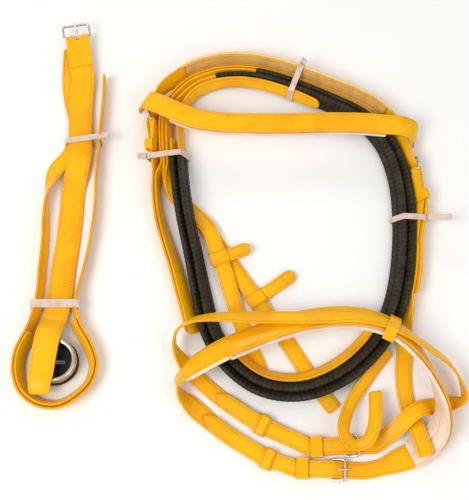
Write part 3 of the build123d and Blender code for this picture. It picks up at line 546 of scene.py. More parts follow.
class Routes:
    """The way that every strap takes, worked out once."""

    def __init__(self) -> None:
        """Works out lanes, buckles and every strap's rings."""
        s = SIZES
        self.coil = Coil()
        self.lay_lanes()
        rise = s.strap + s.gap + s.strap / 2
        over_heel = 2 * s.eye_radius + s.gap + s.strap / 2
        self.rise = rise
        self.billet_path = [
            (30, s.strap / 2 + 0.2), (20, s.strap / 2 + 0.5),
            (s.buckle_length, 3.2), (s.buckle_length / 2, 5.6),
            (2, over_heel), (-3, over_heel), (-20, rise + 0.3), (-34, rise + 0.1),
        ]
        self.left = BucklePlace.in_lane(self.coil, -0.45, self.lane_f, 6.0, False)
        self.right = BucklePlace.in_lane(self.coil, 9.0, self.right_c, 6.4, True)
        self.nose = BucklePlace.on_floor(92, -222, -2)
        self.flash = BucklePlace.on_floor(106, -200, 2)
        self.girth = BucklePlace.of(Vector((-172, 240, 9)) - MIDDLE, Vector((-0.17, 0.985, 0)), UP)
        self.lay_reins()
        self.lay_head()
        self.lay_noseband()
        self.lay_browband()
        self.lay_martingale()

    def lay_lanes(self) -> None:
        """Depths of the lanes, from the inside of the coil out."""
        s = SIZES
        self.lane_a = s.grip_thickness / 2
        self.lane_b = self.lane_a + s.grip_thickness + s.gap + 1.8
        self.lane_c = self.lane_b + s.grip_thickness / 2 + s.gap + s.strap / 2
        self.lane_d = self.lane_c + s.layer
        self.lane_e = self.lane_d + s.layer
        self.lane_f = self.lane_e + s.layer
        self.top_a = s.strap / 2
        self.top_b = self.top_a + s.strap / 2 + s.gap + s.grip_thickness / 2
        self.top_c = self.top_b + s.grip_thickness + s.gap
        self.top_d = self.top_c + s.grip_thickness / 2 + s.gap + s.strap / 2
        top_pad = self.top_d + s.strap / 2 + s.gap + s.padding / 2
        self.top_e = top_pad + s.padding / 2 + s.skin + s.strap / 2
        self.right_c = self.lane_c + 0.6
        self.right_d = self.right_c + s.layer

    def lay_reins(self) -> None:
        """Both reins and their grips."""
        s = SIZES
        w = s.rein
        depth_a = steps(
            (-0.9, self.lane_c), (1.1, self.top_b), (6.6, self.top_b),
            (9.5, self.lane_a), (24.3, self.lane_a),
            (26.0, self.top_a),
        )
        depth_b = steps((-0.9, self.lane_d), (1.1, self.top_c), (6.6, self.top_c), (9.5, self.lane_b))
        join = -1.62
        lift = s.keeper_wall + s.gap + 0.1
        bit_end_b = [
            (98, -165, 0, 0, 15), (80, -141, 0, 0, w), (65, -117, 0, 0, w), (48, -90, 0, 0, w),
            (30, -65, lift, 0, w), (14, -42, lift, 0, w), (-4, -15, 0, 0, w), (-22, 12, 0, 0, w),
        ]
        crossing = [(-38, 34, 0, 0, w), (-53, 49, 0, 0, w), (-65, 64, 0, 12, w), (-69.5, 80, 0.4, 42, w)]
        rest = s.layer + s.keeper_wall + 2 * s.gap
        bit_end_a = [
            (30, -138, 0, 0, 12), (23, -120, 0, 0, w), (13, -95, 0, 0, w), (4, -70, 0.3, 0, w),
            (-4, -46, 4.6, 0, w), (-11, -22, rest, 0, w), (-19, 0, rest, 0, w), (-27, 21, rest - 0.6, 0, w),
        ]
        coil = self.coil
        coil_b = coil.lane(join, coil.rein_b_end, depth_b, s.grip_thickness, s.grip)
        coil_a = coil.lane(join, 30.7, depth_a, s.grip_thickness, s.grip)
        low_b = lean_rings(bit_end_b + crossing)
        over = [r for r in beside(low_b + coil_b[:1], s.layer + 0.2)[:-1] if r.centre.y + MIDDLE.y > 33]
        self.rein_a = lean_rings(bit_end_a) + over + resized(coil_a, w)
        self.rein_b = low_b + resized(coil_b, w)
        for narrow, ring in zip((13.0, 15.5), reversed(self.rein_a[-2:])):
            ring.width = narrow
        self.grip_a = coil.lane(coil.grip_a_start, coil.grip_end, depth_a, s.grip_thickness, s.grip)
        self.grip_b = coil.lane(coil.grip_b_start, coil.grip_end, depth_b, s.grip_thickness, s.grip)

    def lay_head(self) -> None:
        """Headpiece, its padding, throatlatch, cheekpieces and the noseband's headstrap."""
        s = SIZES
        w = s.cheek
        tail = flipped(self.left.rings([(-40, self.rise)] + self.billet_path[::-1], w))
        top = self.coil.lane(1.2, 7.4, self.top_e, s.strap, s.headpiece)
        self.headpiece = (
            tail + top + self.right.rings(self.billet_path, w)
            + self.coil.lane(10.7, 12.15, self.right_d, s.strap, w)
        )
        self.headpiece_pad = beside(
            self.headpiece, s.strap / 2 + s.skin + s.padding / 2, slide=s.padding_rim,
            width=s.headpiece - s.padding_rim,
        )[len(tail) + 1:len(tail) + len(top) - 1]
        self.headpiece_top = beside(self.headpiece, 0.0)[len(tail):len(tail) + len(top)]
        throat_depth = steps((-0.9, self.lane_e), (1.1, self.top_d))
        low_left = [
            (-42, -90, 0, 40, 13), (-45, -79, 0, 42, w), (-49, -64, 0, 45, w), (-55, -44, 0, 48, w),
            (-62, -20, 0, 53, w), (-70, 4, 0, 58, w), (-77, 26, 0, 64, w), (-81.5, 46, 0, 72, w),
            (-83.5, 64, 0.3, 76, w), (-82.5, 79, 1, 70, w),
        ]
        free = lean_rings(low_left)
        left_joint = self.left.joint(w)
        left_joint[0].run = self.left.nose
        self.cheek_left = free + left_joint
        outer = beside(free + self.coil.lane(-1.62, -1.4, self.lane_f, s.strap, w), s.layer + 0.2)[:-2]
        self.throatlatch = outer + self.coil.lane(-1.62, 7.6, throat_depth, s.strap, w)
        low_right = [
            (174, -60, 1.5, 47, w), (170, -83, 0.6, 28, w), (169, -106, 0, 8, w), (167, -128, 0, 0, w),
            (167.5, -148, 0, 0, w), (171, -167, 0.2, 0, w), (173.5, -176, 4, 0, w), (175.5, -183, 8.4, 0, w),
            (177, -190, 11.4, 0, w), (178.5, -197, 15, 0, w), (180, -204, 17.2, 0, w),
            (181.5, -211, 18, 0, w),
        ]
        self.cheek_right = (
            self.right.joint(w, side=1.0) + self.coil.lane(10.7, 12.2, self.right_c, s.strap, w)
            + lean_rings(low_right)
        )
        self.headstrap = self.coil.lane(13.3, 18.4, -(s.gap + s.strap / 2), s.strap, s.loop)

    def lay_noseband(self) -> None:
        """Noseband, its padding and the flash strap."""
        s = SIZES
        t, n, w = s.tail, s.noseband, s.flash
        over = s.tied_rest + s.grip * sin(radians(54)) + s.grip_thickness * cos(radians(54)) + 6.8
        west = [
            (56, -220, 0, 0, t), (34, -213, 0, 0, t), (12, -201, 0, 0, t), (-10, -187, 0, 0, t),
            (-30, -171, 0, 8, 18),
        ]
        free = west + [
            (-45, -158, 0.4, 42, 21), (-54, -148, 1.5, 75, 22), (-56, -139, 4.5, 105, 23),
            (-47, -131, 12, 130, 24), (-29, -120, 22, 146, n), (-9, -110, over, 150, n),
            (17, -99, over, 151, n), (54, -86, over + 1, 151, n), (92, -79, over + 1, 150, n),
            (127, -80, over + 0.5, 146, n), (158, -92, over - 1, 135, n), (183, -115, 13, 115, n),
            (197, -141, 7, 98, n), (203, -168, 4.8, 78, n), (197, -189, 2, 44, n), (181, -203, 0, 14, n),
            (156, -214, 0, 4, 22), (138, -220.5, 0, 0, t),
        ]
        middle = lean_rings(free)
        end = flipped(self.nose.rings(self.billet_path, t))
        tail = beside(lean_rings(west + [(-52, -153, 0, 8, 14)]), s.layer + 0.5)[:-1]
        tail[-1].width = 12.0
        self.noseband = self.nose.joint(t) + middle + end + tail
        self.noseband_pad = [
            ring for ring in beside(middle, s.strap / 2 + s.lining + s.padding / 2, width=n + s.padding_rim)
            if ring.centre.x + MIDDLE.x > 165
            or ring.centre.x + MIDDLE.x > -10 and ring.centre.y + MIDDLE.y > -130
        ]
        flash_west = [(66, -198, 0, 0, w), (44, -188, 0, 0, w), (20, -176, 0, 0, w), (0, -163, 0, 0, w)]
        flash_free = flash_west + [
            (-18, -150, 0, 0, w), (-32, -138, 0, 0, w), (-43, -126, 0.3, 8, w), (-53, -115, 3, 45, w),
            (-59, -104, 9, 80, w), (-57, -92, 17, 98, w), (-45, -84, 24, 112, w), (-22, -80.5, 30, 130, w),
            (10, -80.5, 31.5, 148, w), (45, -81, 32.5, 151, w),
        ]
        east = [
            (175, -100.5, 25.5, 125, w), (191, -110.5, 20, 124, w),
            (209, -123, 13, 115, w), (221, -142, 7, 95, w),
            (222, -157, 3, 70, w), (212, -159, 0.5, 25, w), (200, -161, 0, 0, w), (193, -161.5, 0, 0, w),
            (184.5, -163.5, 8, 0, w), (178, -166, 11.4, 0, w), (168, -173, 13, 0, w), (154, -186, 8, 0, w),
            (143, -194, 1.8, 0, w),
        ]
        over_nose = [
            ring for ring in middle
            if 80 < ring.centre.x + MIDDLE.x < 160 and ring.centre.y + MIDDLE.y > -115
        ]
        self.flash_middle = beside(over_nose, -s.layer - 0.7, slide=5.5, width=w)
        flash_tail = beside(lean_rings(flash_west + [(-18, -150, 0, 0, 12)]), s.layer + 0.5)
        self.flash_strap = (
            self.flash.joint(w) + lean_rings(flash_free) + self.flash_middle + lean_rings(east)
            + flipped(self.flash.rings(self.billet_path, w)) + flash_tail
        )
        self.noseband_stretch = middle
        self.bit_loop = lean_rings([
            (152.8, -107, 0.5, 140, s.loop), (135, -129, 0.5, 145, s.loop), (117, -153, 4, 148, s.loop),
            (107, -173, 11, 150, s.loop), (104, -189, 16.5, 150, s.loop), (111, -201, 17.5, 148, s.loop),
            (124, -199, 17.5, 148, s.loop), (133, -184, 14, 148, s.loop), (136, -166, 9, 148, s.loop),
            (137, -148, 5, 148, s.loop),
        ])

    def lay_browband(self) -> None:
        """Browband and its padding."""
        s = SIZES
        points = [
            (-95.5, 160.5, 6, 58), (-95.5, 160, 16, 58), (-93, 159, 24.5, 59), (-81, 152.5, 29.5, 62),
            (-64, 144, 31, 68), (-46, 136, 31.2, 78), (-22, 131, 31.5, 90), (15, 129, 31.5, 90),
            (60, 129, 31.5, 90), (105, 130, 31.5, 90), (138, 129, 31.5, 86), (159, 127, 31.5, 80),
            (176, 126, 30, 77), (187, 124, 24, 76), (191, 122.5, 14, 76), (191.5, 122, 4, 76),
        ]
        self.browband = [
            Ring(
                Vector((x, y, z)) - MIDDLE, Vector((cos(radians(turn)), sin(radians(turn)), 0.0)), s.browband
            )
            for x, y, z, turn in points
        ]
        self.browband_pad = beside(
            self.browband, -(s.strap / 2 + s.skin + s.padding / 2), width=s.browband + s.padding_rim
        )[4:-4]

    def lay_martingale(self) -> None:
        """Girth strap, fork and neck strap."""
        s = SIZES
        g, w = s.girth, s.fork
        girth = [
            (-164.5, 196, 6.5, 0, g), (-165, 170, 3.8, 0, g), (-164, 124, 5.6, 0, g), (-163, 106, 4.9, 0, g),
            (-165, 90, 4.2, 0, g), (-169, 66, 0.4, 0, g), (-170, 39, 0, 0, g), (-172, 6, 0, 0, g),
            (-175, -26, 0.4, 0, g), (-177, -57, 1.9, 0, g), (-180, -76, 7, 0, g), (-183, -92, 18.1, 0, g),
            (-186, -112, 18.2, 0, g), (-188, -130, 18.1, 0, g), (-189, -143, 17.9, 0, 22),
            (-189, -152, 14.5, 0, 20),
        ]
        self.girth_strap = self.girth.joint(g) + lean_rings(girth)
        fork = [
            (-180, 232, 0, 0, w), (-178, 180, 0, 0, w), (-169, 119, 1.9, 0, w), (-176, 104, 0.6, 0, w),
            (-188, 89, 0, 5, w), (-192, 73, 0, 40, w), (-195, 57, 0, 80, w), (-195, 37, 0, 100, w),
            (-194, 7, 0, 105, w), (-195, -25, 0.4, 106, w),
            (-196, -57, 1.9, 108, w), (-198, -69, 1.9, 110, w),
            (-204, -88, 0, 112, w), (-213, -108, 0, 112, w), (-214, -130, 0, 112, w), (-206, -149, 0, 112, w),
            (-188, -161, 0, 112, w), (-171, -162, 0, 112, w),
            (-154, -153, 0, 112, w), (-141, -139, 0, 112, w),
            (-137, -123, 0, 112, w), (-144, -101, 0, 112, w),
            (-155, -83, 0.6, 112, w), (-159, -69, 1.9, 108, w),
            (-160, -57, 1.9, 106, w), (-156, -35, 0.4, 104, w), (-151, -9, 0, 102, w), (-147, 20, 0, 100, w),
            (-145, 48, 0, 98, w), (-145, 80, 0, 96, w), (-143, 116, 1.9, 94, w), (-142, 143, 0.4, 94, w),
            (-141, 169, 0, 94, w), (-141, 195, 0, 94, w),
        ]
        self.fork = lean_rings(fork)
        self.neck = [ring for ring in beside(self.fork, -s.layer - 0.2) if ring.centre.y + MIDDLE.y < -74]


# ---------------------------------------------------------------- shaders
Value = Union["Link", float, Sequence[float]]


@dataclass(frozen=True)
class Link:
    """The output socket of a shader node, with arithmetic.

    Args:
        recipe: The material that the node belongs to.
        socket: The socket.
    """

    recipe: "Recipe"
    socket: bpy.types.NodeSocket

    def __add__(self, other: Value) -> "Link":
        """The sum."""
        return self.recipe.math("ADD", self, other)

    __radd__ = __add__

    def __sub__(self, other: Value) -> "Link":
        """The difference."""
        return self.recipe.math("SUBTRACT", self, other)

    def __rsub__(self, other: Value) -> "Link":
        """The difference from the other."""
        return self.recipe.math("SUBTRACT", other, self)

    def __mul__(self, other: Value) -> "Link":
        """The product."""
        return self.recipe.math("MULTIPLY", self, other)

    __rmul__ = __mul__

    def wave(self) -> "Link":
        """The sine."""
        return self.recipe.math("SINE", self)

    def clamp(self) -> "Link":
        """The value held between 0 and 1."""
        return self.recipe.math("MINIMUM", self.recipe.math("MAXIMUM", self, 0.0), 1.0)

    def between(self, low: float, high: float) -> "Link":
        """0 at a low value, 1 at a high one, and smooth in between."""
        return self.recipe.node(
            "ShaderNodeMapRange",
            {"interpolation_type": "SMOOTHSTEP"},
            {0: self, 1: low, 2: high, 3: 0.0, 4: 1.0},
        )


class Recipe:
    """A material in the making."""

    def __init__(self, name: str) -> None:
        """Starts a material with a bare surface shader.

        Args:
            name: The material's name.
        """
        self.material = bpy.data.materials.new(name)
        self.material.use_nodes = True
        self.tree = self.material.node_tree
        self.surface = self.tree.nodes["Principled BSDF"]

    def node(
        self, kind: str, settings: dict | None = None, sockets: dict | None = None, out: int | str = 0
    ) -> Link:
        """Adds a node.

        Args:
            kind: The node's type.
            settings: Its own settings, such as an operation, or "stops" for a ramp.
            sockets: Numbers, colours or links for its input sockets.
            out: The output socket that is wanted.

        Returns:
            The link from that output.
        """
        node = self.tree.nodes.new(kind)
        for key, value in (settings or {}).items():
            if key == "stops":
                self.set_stops(node, value)
            else:
                setattr(node, key, value)
        for key, value in (sockets or {}).items():
            if isinstance(value, Link):
                self.tree.links.new(value.socket, node.inputs[key])
            elif value is not None:
                node.inputs[key].default_value = value
        return Link(self, node.outputs[out])

    @staticmethod
    def set_stops(node: bpy.types.Node, stops: Sequence[tuple[float, Sequence[float]]]) -> None:
        """Sets a ramp's stops, each a place and a colour."""
        ramp = node.color_ramp
        while len(ramp.elements) < len(stops):
            ramp.elements.new(0.5)
        for element, (place, colour) in zip(ramp.elements, stops):
            element.position = place
            element.color = (*colour, 1.0)

    def math(self, operation: str, *values: Value) -> Link:
        """A Math node on values."""
        return self.node("ShaderNodeMath", {"operation": operation}, dict(enumerate(values)))

    def spot(self, scale: tuple[float, float, float] = (1.0, 1.0, 1.0)) -> Link:
        """The place on the object, in metres, stretched by a scale."""
        place = self.node("ShaderNodeTexCoord", out="Object")
        if scale == (1.0, 1.0, 1.0):
            return place
        return self.node("ShaderNodeVectorMath", {"operation": "MULTIPLY"}, {0: place, 1: scale})

    def mapped(self, name: str) -> Link:
        """A number that the mesh carries at its points."""
        return self.node("ShaderNodeAttribute", {"attribute_name": name}, out="Fac")

    def noise(
        self, scale: float, detail: float = 2.0, roughness: float = 0.5, place: Link | None = None
    ) -> Link:
        """Cloudy noise, from about 0.3 to 0.7."""
        return self.node(
            "ShaderNodeTexNoise", None,
            {"Vector": place or self.spot(), "Scale": scale, "Detail": detail, "Roughness": roughness},
        )

    def cells(self, scale: float, place: Link | None = None) -> Link:
        """The distance to the nearest of many scattered points."""
        return self.node("ShaderNodeTexVoronoi", None, {"Vector": place or self.spot(), "Scale": scale})

    def mix(self, factor: Value, first: Value, second: Value) -> Link:
        """A blend of two colours."""
        first = first if isinstance(first, Link) else (*first, 1.0)
        second = second if isinstance(second, Link) else (*second, 1.0)
        return self.node("ShaderNodeMix", {"data_type": "RGBA"}, {0: factor, 6: first, 7: second}, out=2)

    def bump(self, height: Link, distance: float, strength: float = 1.0) -> Link:
        """A bump of a height in metres times a distance."""
        sockets = {"Height": height, "Distance": distance, "Strength": strength}
        return self.node("ShaderNodeBump", None, sockets)

    def dress(self, sockets: dict[str, Value]) -> bpy.types.Material:
        """Fills the surface shader's sockets.

        Args:
            sockets: Links, numbers or colours for its sockets.

        Returns:
            The finished material.
        """
        for key, value in sockets.items():
            if isinstance(value, Link):
                self.tree.links.new(value.socket, self.surface.inputs[key])
            else:
                self.surface.inputs[key].default_value = value
        return self.material


class Slot(Enum):
    """The material slots of the record."""

    STRAP = "yellow_strap"
    RUBBER = "black_rubber"
    PADDING = "padding_cloth"
    TIE = "clear_tie"
    METAL = "nickel_steel"


@dataclass(frozen=True)
class CoatedStrap:
    """Yellow coated webbing: a glossy skin, faintly grained, with painted shade in its creases and along its
    edges.

    Args:
        light: The skin's colour where it is clean.
        deep: Its darker tone, in random blotches and in the painted shade along its edges.
        crease: The painted shade in a crease, also the colour of its dark specks.
        grain: The number of grains in a metre.
        gloss: The skin's roughness.
    """

    light: tuple[float, float, float] = (0.92, 0.46, 0.003)
    deep: tuple[float, float, float] = (0.78, 0.31, 0.002)
    crease: tuple[float, float, float] = (0.34, 0.10, 0.003)
    grain: float = 1500.0
    gloss: float = 0.34

    def material(self, name: str, on_strap: bool = True) -> bpy.types.Material:
        """Makes the material.

        Args:
            name: Its name.
            on_strap: True if the mesh carries the strap's own coordinates.

        Returns:
            The material.
        """
        r = Recipe(name)
        clouds = r.noise(28.0, 3.0)
        blotch = clouds.between(0.42, 0.68)
        colour = r.mix(blotch * 0.55, self.light, self.deep)
        specks = r.noise(420.0, 2.0).between(0.64, 0.76)
        colour = r.mix(specks * 0.25, colour, self.crease)
        fine = r.noise(self.grain, 2.0, 0.6)
        leather = r.cells(self.grain * 0.6)
        height = fine * 0.5 + leather * 0.5
        rough = clouds * 0.16 + fine * 0.10 + (self.gloss - 0.12)
        if on_strap:
            sunk = r.mapped("sunk")
            edge = r.mapped("edge")
            # Painted shade: the skin darkens towards the crease colour in the creases and in the edge seam.
            colour = r.mix(sunk * 0.55, colour, self.crease)
            # Patchy painted shade along the edges, which also makes them a little rougher.
            edge_shade = (edge * r.noise(160.0, 3.0).between(0.5, 0.62)).clamp()
            colour = r.mix(edge_shade * 0.35, colour, self.deep)
            rough = rough + sunk * 0.18 + edge_shade * 0.1
        return r.dress({
            "Base Color": colour,
            "Roughness": rough.clamp(),
            "Coat Weight": 0.10,
            "Coat Roughness": 0.14,
            "Specular IOR Level": 0.16,
            "Normal": r.bump(height, 0.00006, 0.6),
        })


@dataclass(frozen=True)
class GripRubber:
    """Ribbed black rubber, dusty in cloudy patches, with a painted highlight on the rib tops and painted
    shade in the sewn channel.
    """

    dark: tuple[float, float, float] = (0.010, 0.007, 0.003)
    dust_and_highlight_colour: tuple[float, float, float] = (0.046, 0.036, 0.020)
    roughness: float = 0.55

    def material(self, name: str, on_strap: bool = True) -> bpy.types.Material:
        """Makes the material, with or without the strap's own coordinates."""
        r = Recipe(name)
        clouds = r.noise(60.0, 4.0, 0.6)
        dust_and_rib_highlight = clouds.between(0.40, 0.70)
        # With the strap's coordinates: a painted highlight on the rib tops, and painted shade in the sewn
        # channel, where the dust is taken away.
        if on_strap:
            dust_and_rib_highlight = (dust_and_rib_highlight * 0.6 + r.mapped("rib") * 0.5).clamp() * (1 - r.mapped("sunk"))
        colour = r.mix(dust_and_rib_highlight, self.dark, self.dust_and_highlight_colour)
        pores = r.noise(2600.0, 2.0)
        return r.dress({
            "Base Color": colour,
            "Roughness": (pores * 0.2 + clouds * 0.2 + (self.roughness - 0.18)).clamp(),
            "Specular IOR Level": 0.22,
            "Normal": r.bump(pores, 0.00008, 0.5),
        })


@dataclass(frozen=True)
class LiningCloth:
    """Cream lining, woven fine, pinker in random blotches, with pink painted shade in its sewn channels where
    it is pressed in.
    """

    cream: tuple[float, float, float] = (0.87, 0.70, 0.56)
    rose: tuple[float, float, float] = (0.72, 0.47, 0.36)
    threads: float = 1150.0

    def material(self, name: str) -> bpy.types.Material:
        """Makes the material, on a mesh that carries the strap's own coordinates."""
        r = Recipe(name)
        warp = (r.mapped("across_m") * (self.threads * 2 * pi)).wave()
        weft = (r.mapped("along_m") * (self.threads * 2 * pi)).wave()
        weave = warp * weft * 0.5 + 0.5
        clouds = r.noise(90.0, 3.0)
        # Random pink blotches, and painted shade: pinker in the sewn channels where the lining is pressed in.
        blotch_and_channel_shade = (clouds.between(0.42, 0.66) * 0.45 + r.mapped("sunk") * 0.7).clamp()
        colour = r.mix(blotch_and_channel_shade, self.cream, self.rose)
        colour = r.mix(weave * 0.18, colour, self.rose)
        fuzz = r.noise(1800.0, 3.0)
        return r.dress({
            "Base Color": colour,
            "Roughness": (fuzz * 0.15 + 0.72).clamp(),
            "Sheen Weight": 0.3,
            "Sheen Roughness": 0.5,
            "Specular IOR Level": 0.25,
            "Normal": r.bump(weave * 0.6 + fuzz * 0.4, 0.00012, 0.7),
        })


@dataclass(frozen=True)
class MilkyPlastic:
    """Flat plastic tie, milky and a little clear."""

    milk: tuple[float, float, float] = (0.78, 0.62, 0.51)
    shade: tuple[float, float, float] = (0.62, 0.44, 0.34)

    def material(self, name: str) -> bpy.types.Material:
        """Makes the material."""
        r = Recipe(name)
        streaks = r.noise(160.0, 3.0, 0.6, r.spot((1.0, 1.0, 0.25)))
        colour = r.mix(streaks.between(0.4, 0.7), self.milk, self.shade)
        return r.dress({
            "Base Color": colour,
            "Roughness": (streaks * 0.3 + 0.18).clamp(),
            "Coat Weight": 0.3,
            "Coat Roughness": 0.15,
            "Alpha": (streaks * 0.25 + 0.74).clamp(),
            "Normal": r.bump(r.noise(700.0, 2.0), 0.0001, 0.5),
        })


@dataclass(frozen=True)
class Nickel:
    """Nickel plate, rubbed, with brown in its pits."""

    bright: tuple[float, float, float] = (0.66, 0.62, 0.54)
    brown: tuple[float, float, float] = (0.20, 0.14, 0.07)

    def material(self, name: str) -> bpy.types.Material:
        """Makes the material."""
        r = Recipe(name)
        pits = r.noise(520.0, 4.0, 0.65).between(0.52, 0.68)
        colour = r.mix(pits * 0.7, self.bright, self.brown)
        return r.dress({
            "Base Color": colour,
            "Metallic": 1.0,
            "Roughness": (pits * 0.3 + r.noise(2200.0, 2.0) * 0.12 + 0.16).clamp(),
            "Normal": r.bump(r.noise(900.0, 3.0), 0.00005, 0.5),
        })


@dataclass(frozen=True)
class Thread:
    """Waxed sewing thread, twisted."""

    colour: tuple[float, float, float] = (0.90, 0.60, 0.12)
    dark: tuple[float, float, float] = (0.55, 0.30, 0.04)

    def material(self, name: str) -> bpy.types.Material:
        """Makes the material."""
        r = Recipe(name)
        twist = r.noise(1400.0, 2.0, 0.5, r.spot((1.0, 1.0, 3.0)))
        return r.dress({
            "Base Color": r.mix(twist.between(0.4, 0.65), self.colour, self.dark),
            "Roughness": (twist * 0.2 + 0.45).clamp(),
            "Normal": r.bump(twist, 0.0001, 0.6),
        })


@dataclass(frozen=True)
class PaleFloor:
    """A plain pale floor, a little mottled."""

    pale: tuple[float, float, float] = (0.90, 0.90, 0.89)
    mottle: tuple[float, float, float] = (0.86, 0.86, 0.85)

    def material(self, name: str) -> bpy.types.Material:
        """Makes the material."""
        r = Recipe(name)
        return r.dress({
            "Base Color": r.mix(r.noise(9.0, 4.0), self.pale, self.mottle),
            "Roughness": 0.85,
            "Specular IOR Level": 0.1,
        })


class Finishes:
    """Every material of the bridle, made once."""

    def __init__(self) -> None:
        """Makes the materials."""
        self.strap = CoatedStrap().material("coated_strap")
        self.strap_plain = CoatedStrap().material("coated_strap_plain", on_strap=False)
        self.rubber = GripRubber().material("grip_rubber")
        self.rubber_plain = GripRubber().material("moulded_rubber", on_strap=False)
        self.lining = LiningCloth().material("lining_cloth")
        # Painted shade: the headpiece's lining is a darker yellow-brown copy of the lining cloth, for its
        # inner face that lies in shadow.
        self.shaded_head_lining = LiningCloth((0.68, 0.38, 0.08), (0.50, 0.24, 0.04)).material("shaded_head_lining_cloth")
        self.piping = LiningCloth((0.90, 0.62, 0.20), (0.78, 0.44, 0.08), 900.0).material("piping_cloth")
        self.tie = MilkyPlastic().material("milky_plastic")
        self.nickel = Nickel().material("nickel_plate")
        self.thread = Thread().material("yellow_thread")
        self.black_thread = Thread((0.05, 0.045, 0.035), (0.015, 0.013, 0.01)).material("black_thread")
        self.floor = PaleFloor().material("pale_floor")


# ---------------------------------------------------------------- meshes
class End(Enum):
    """How a strap ends."""

    SQUARE = "square"
    ROUND = "round"
    POINT = "point"
    SOFT = "soft"


@dataclass
class Skin:
    """Points and faces of a mesh in millimetres, with numbers carried at the points."""

    points: list[Vector] = field(default_factory=list)
    faces: list[tuple[int, ...]] = field(default_factory=list)
    marks: dict[str, list[float]] = field(default_factory=dict)

    def add(self, point: Vector, **marks: float) -> int:
        """Adds a point with its numbers and returns its place in the list."""
        self.points.append(point)
        for name, value in marks.items():
            self.marks.setdefault(name, []).append(value)
        return len(self.points) - 1

    def join(self, loops: Sequence[Sequence[int]], closed: bool = False, capped: bool = True) -> None:
        """Faces between loops of points of the same length.

        Args:
            loops: The loops, in order.
            closed: True if the last loop joins the first.
            capped: True if the first and last loops are closed with a face.
        """
        pairs = list(zip(loops, loops[1:]))
        if closed:
            pairs.append((loops[-1], loops[0]))
        for near, far in pairs:
            count = len(near)
            for i in range(count):
                j = (i + 1) % count
                self.faces.append((near[i], near[j], far[j], far[i]))
        if capped and not closed:
            self.faces.append(tuple(reversed(loops[0])))
            self.faces.append(tuple(loops[-1]))

    def object(self, name: str) -> bpy.types.Object:
        """An object of this mesh, in metres."""
        mesh = bpy.data.meshes.new(name)
        mesh.from_pydata([tuple(p * MM) for p in self.points], [], self.faces)
        for key, values in self.marks.items():
            layer = mesh.attributes.new(key, "FLOAT", "POINT")
            layer.data.foreach_set("value", values)
        mesh.update()
        mesh.validate()
        mesh.shade_smooth()
        piece = bpy.data.objects.new(name, mesh)
        bpy.context.scene.collection.objects.link(piece)
        return piece


# A corner of a section: across, up, how deep in a crease, how near an edge, how high on a rib.
Corner = tuple[float, float, float, float, float]


@dataclass(frozen=True)
class StrapShape:
    """The section of a flat strap: rounded edges, a crease beside each, and a slight crown.

    Args:
        edge: The radius of its edges.
        crease_in: How far in from the edge the crease is.
        crease_depth: The crease's depth.
        crown: How much thinner the strap is at its edges.
        seam: The depth of the seam between its layers, seen in its edges.
    """

    edge: float = 1.25
    crease_in: float = 2.3
    crease_depth: float = 0.28
    crown: float = 0.3
    seam: float = 0.22

    def outline(self, width: float, thickness: float, along: float) -> list[Corner]:
        """Points of the outline, anticlockwise from the middle of the right edge.

        Args:
            width: The strap's width.
            thickness: Its thickness.
            along: The distance from its start; not used.

        Returns:
            Rows of x, y, how sunk, how near the edge, and the height of a rib.
        """
        a, b = width / 2, thickness / 2
        r = min(self.edge, b, a * 0.5)
        drop = self.crown
        crease = min(self.crease_in, a * 0.5)
        top = [
            (a - self.seam, 0.0, 1.0, 1.0),
            (a, b * 0.22, 0.2, 1.0),
            (a - 0.10 * r, b * 0.45, 0.0, 1.0),
            (a - 0.42 * r, (b - drop) * 0.84, 0.0, 1.0),
            (a - r, b - drop * 0.9, 0.0, 0.8),
            (a - crease + 0.45, b - drop * 0.75, 0.1, 0.3),
            (a - crease, b - drop * 0.7 - self.crease_depth, 1.0, 0.2),
            (a - crease - 0.45, b - drop * 0.6, 0.1, 0.0),
            (a * 0.55, b - drop * 0.3, 0.0, 0.0),
            (a * 0.25, b, 0.0, 0.0),
        ]
        rows = [(x, y, sunk, near, 0.0) for x, y, sunk, near in top]
        rows += [(-x, y, sunk, near, 0.0) for x, y, sunk, near in reversed(top[1:])]
        rows += [(-x, -y, sunk, near, 0.0) for x, y, sunk, near in top]
        rows += [(x, -y, sunk, near, 0.0) for x, y, sunk, near in reversed(top[1:])]
        return rows


@dataclass(frozen=True)
class GripShape:
    """The section of a rubber grip: ribs across it, and a sewn channel along its middle.

    Args:
        pitch: The distance from rib to rib.
        depth: The height of a rib.
        channel: The depth of the sewn channel.
    """

    pitch: float = 4.8
    depth: float = 0.8
    channel: float = 0.9

    def outline(self, width: float, thickness: float, along: float) -> list[Corner]:
        """Points of the outline, as a strap's."""
        a, b = width / 2, thickness / 2
        turn = abs(sin(pi * along / self.pitch)) ** 0.7
        low = self.depth * (1 - turn)
        half = [
            (a - low * 0.8, 0.0, 0.0, 1.0, turn),
            (a - low * 0.8 - 0.1, b * 0.45, 0.0, 1.0, turn),
            (a - 0.8, b * 0.82 - low * 0.6, 0.0, 1.0, turn),
            (a - 1.9, b - low, 0.0, 0.5, turn),
            (a * 0.62, b - low, 0.0, 0.0, turn),
            (a * 0.38, b - low, 0.0, 0.0, turn),
            (1.9, b - low * 0.8, 0.0, 0.0, turn),
            (1.1, b - 0.25, 0.4, 0.0, 0.3),
            (0.5, b - self.channel, 1.0, 0.0, 0.0),
        ]
        rows = half + [(-x, y, sunk, near, rib) for x, y, sunk, near, rib in reversed(half[1:])]
        rows += [(-x, -y, sunk, near, rib) for x, y, sunk, near, rib in half]
        rows += [(x, -y, sunk, near, rib) for x, y, sunk, near, rib in reversed(half[1:])]
        return rows


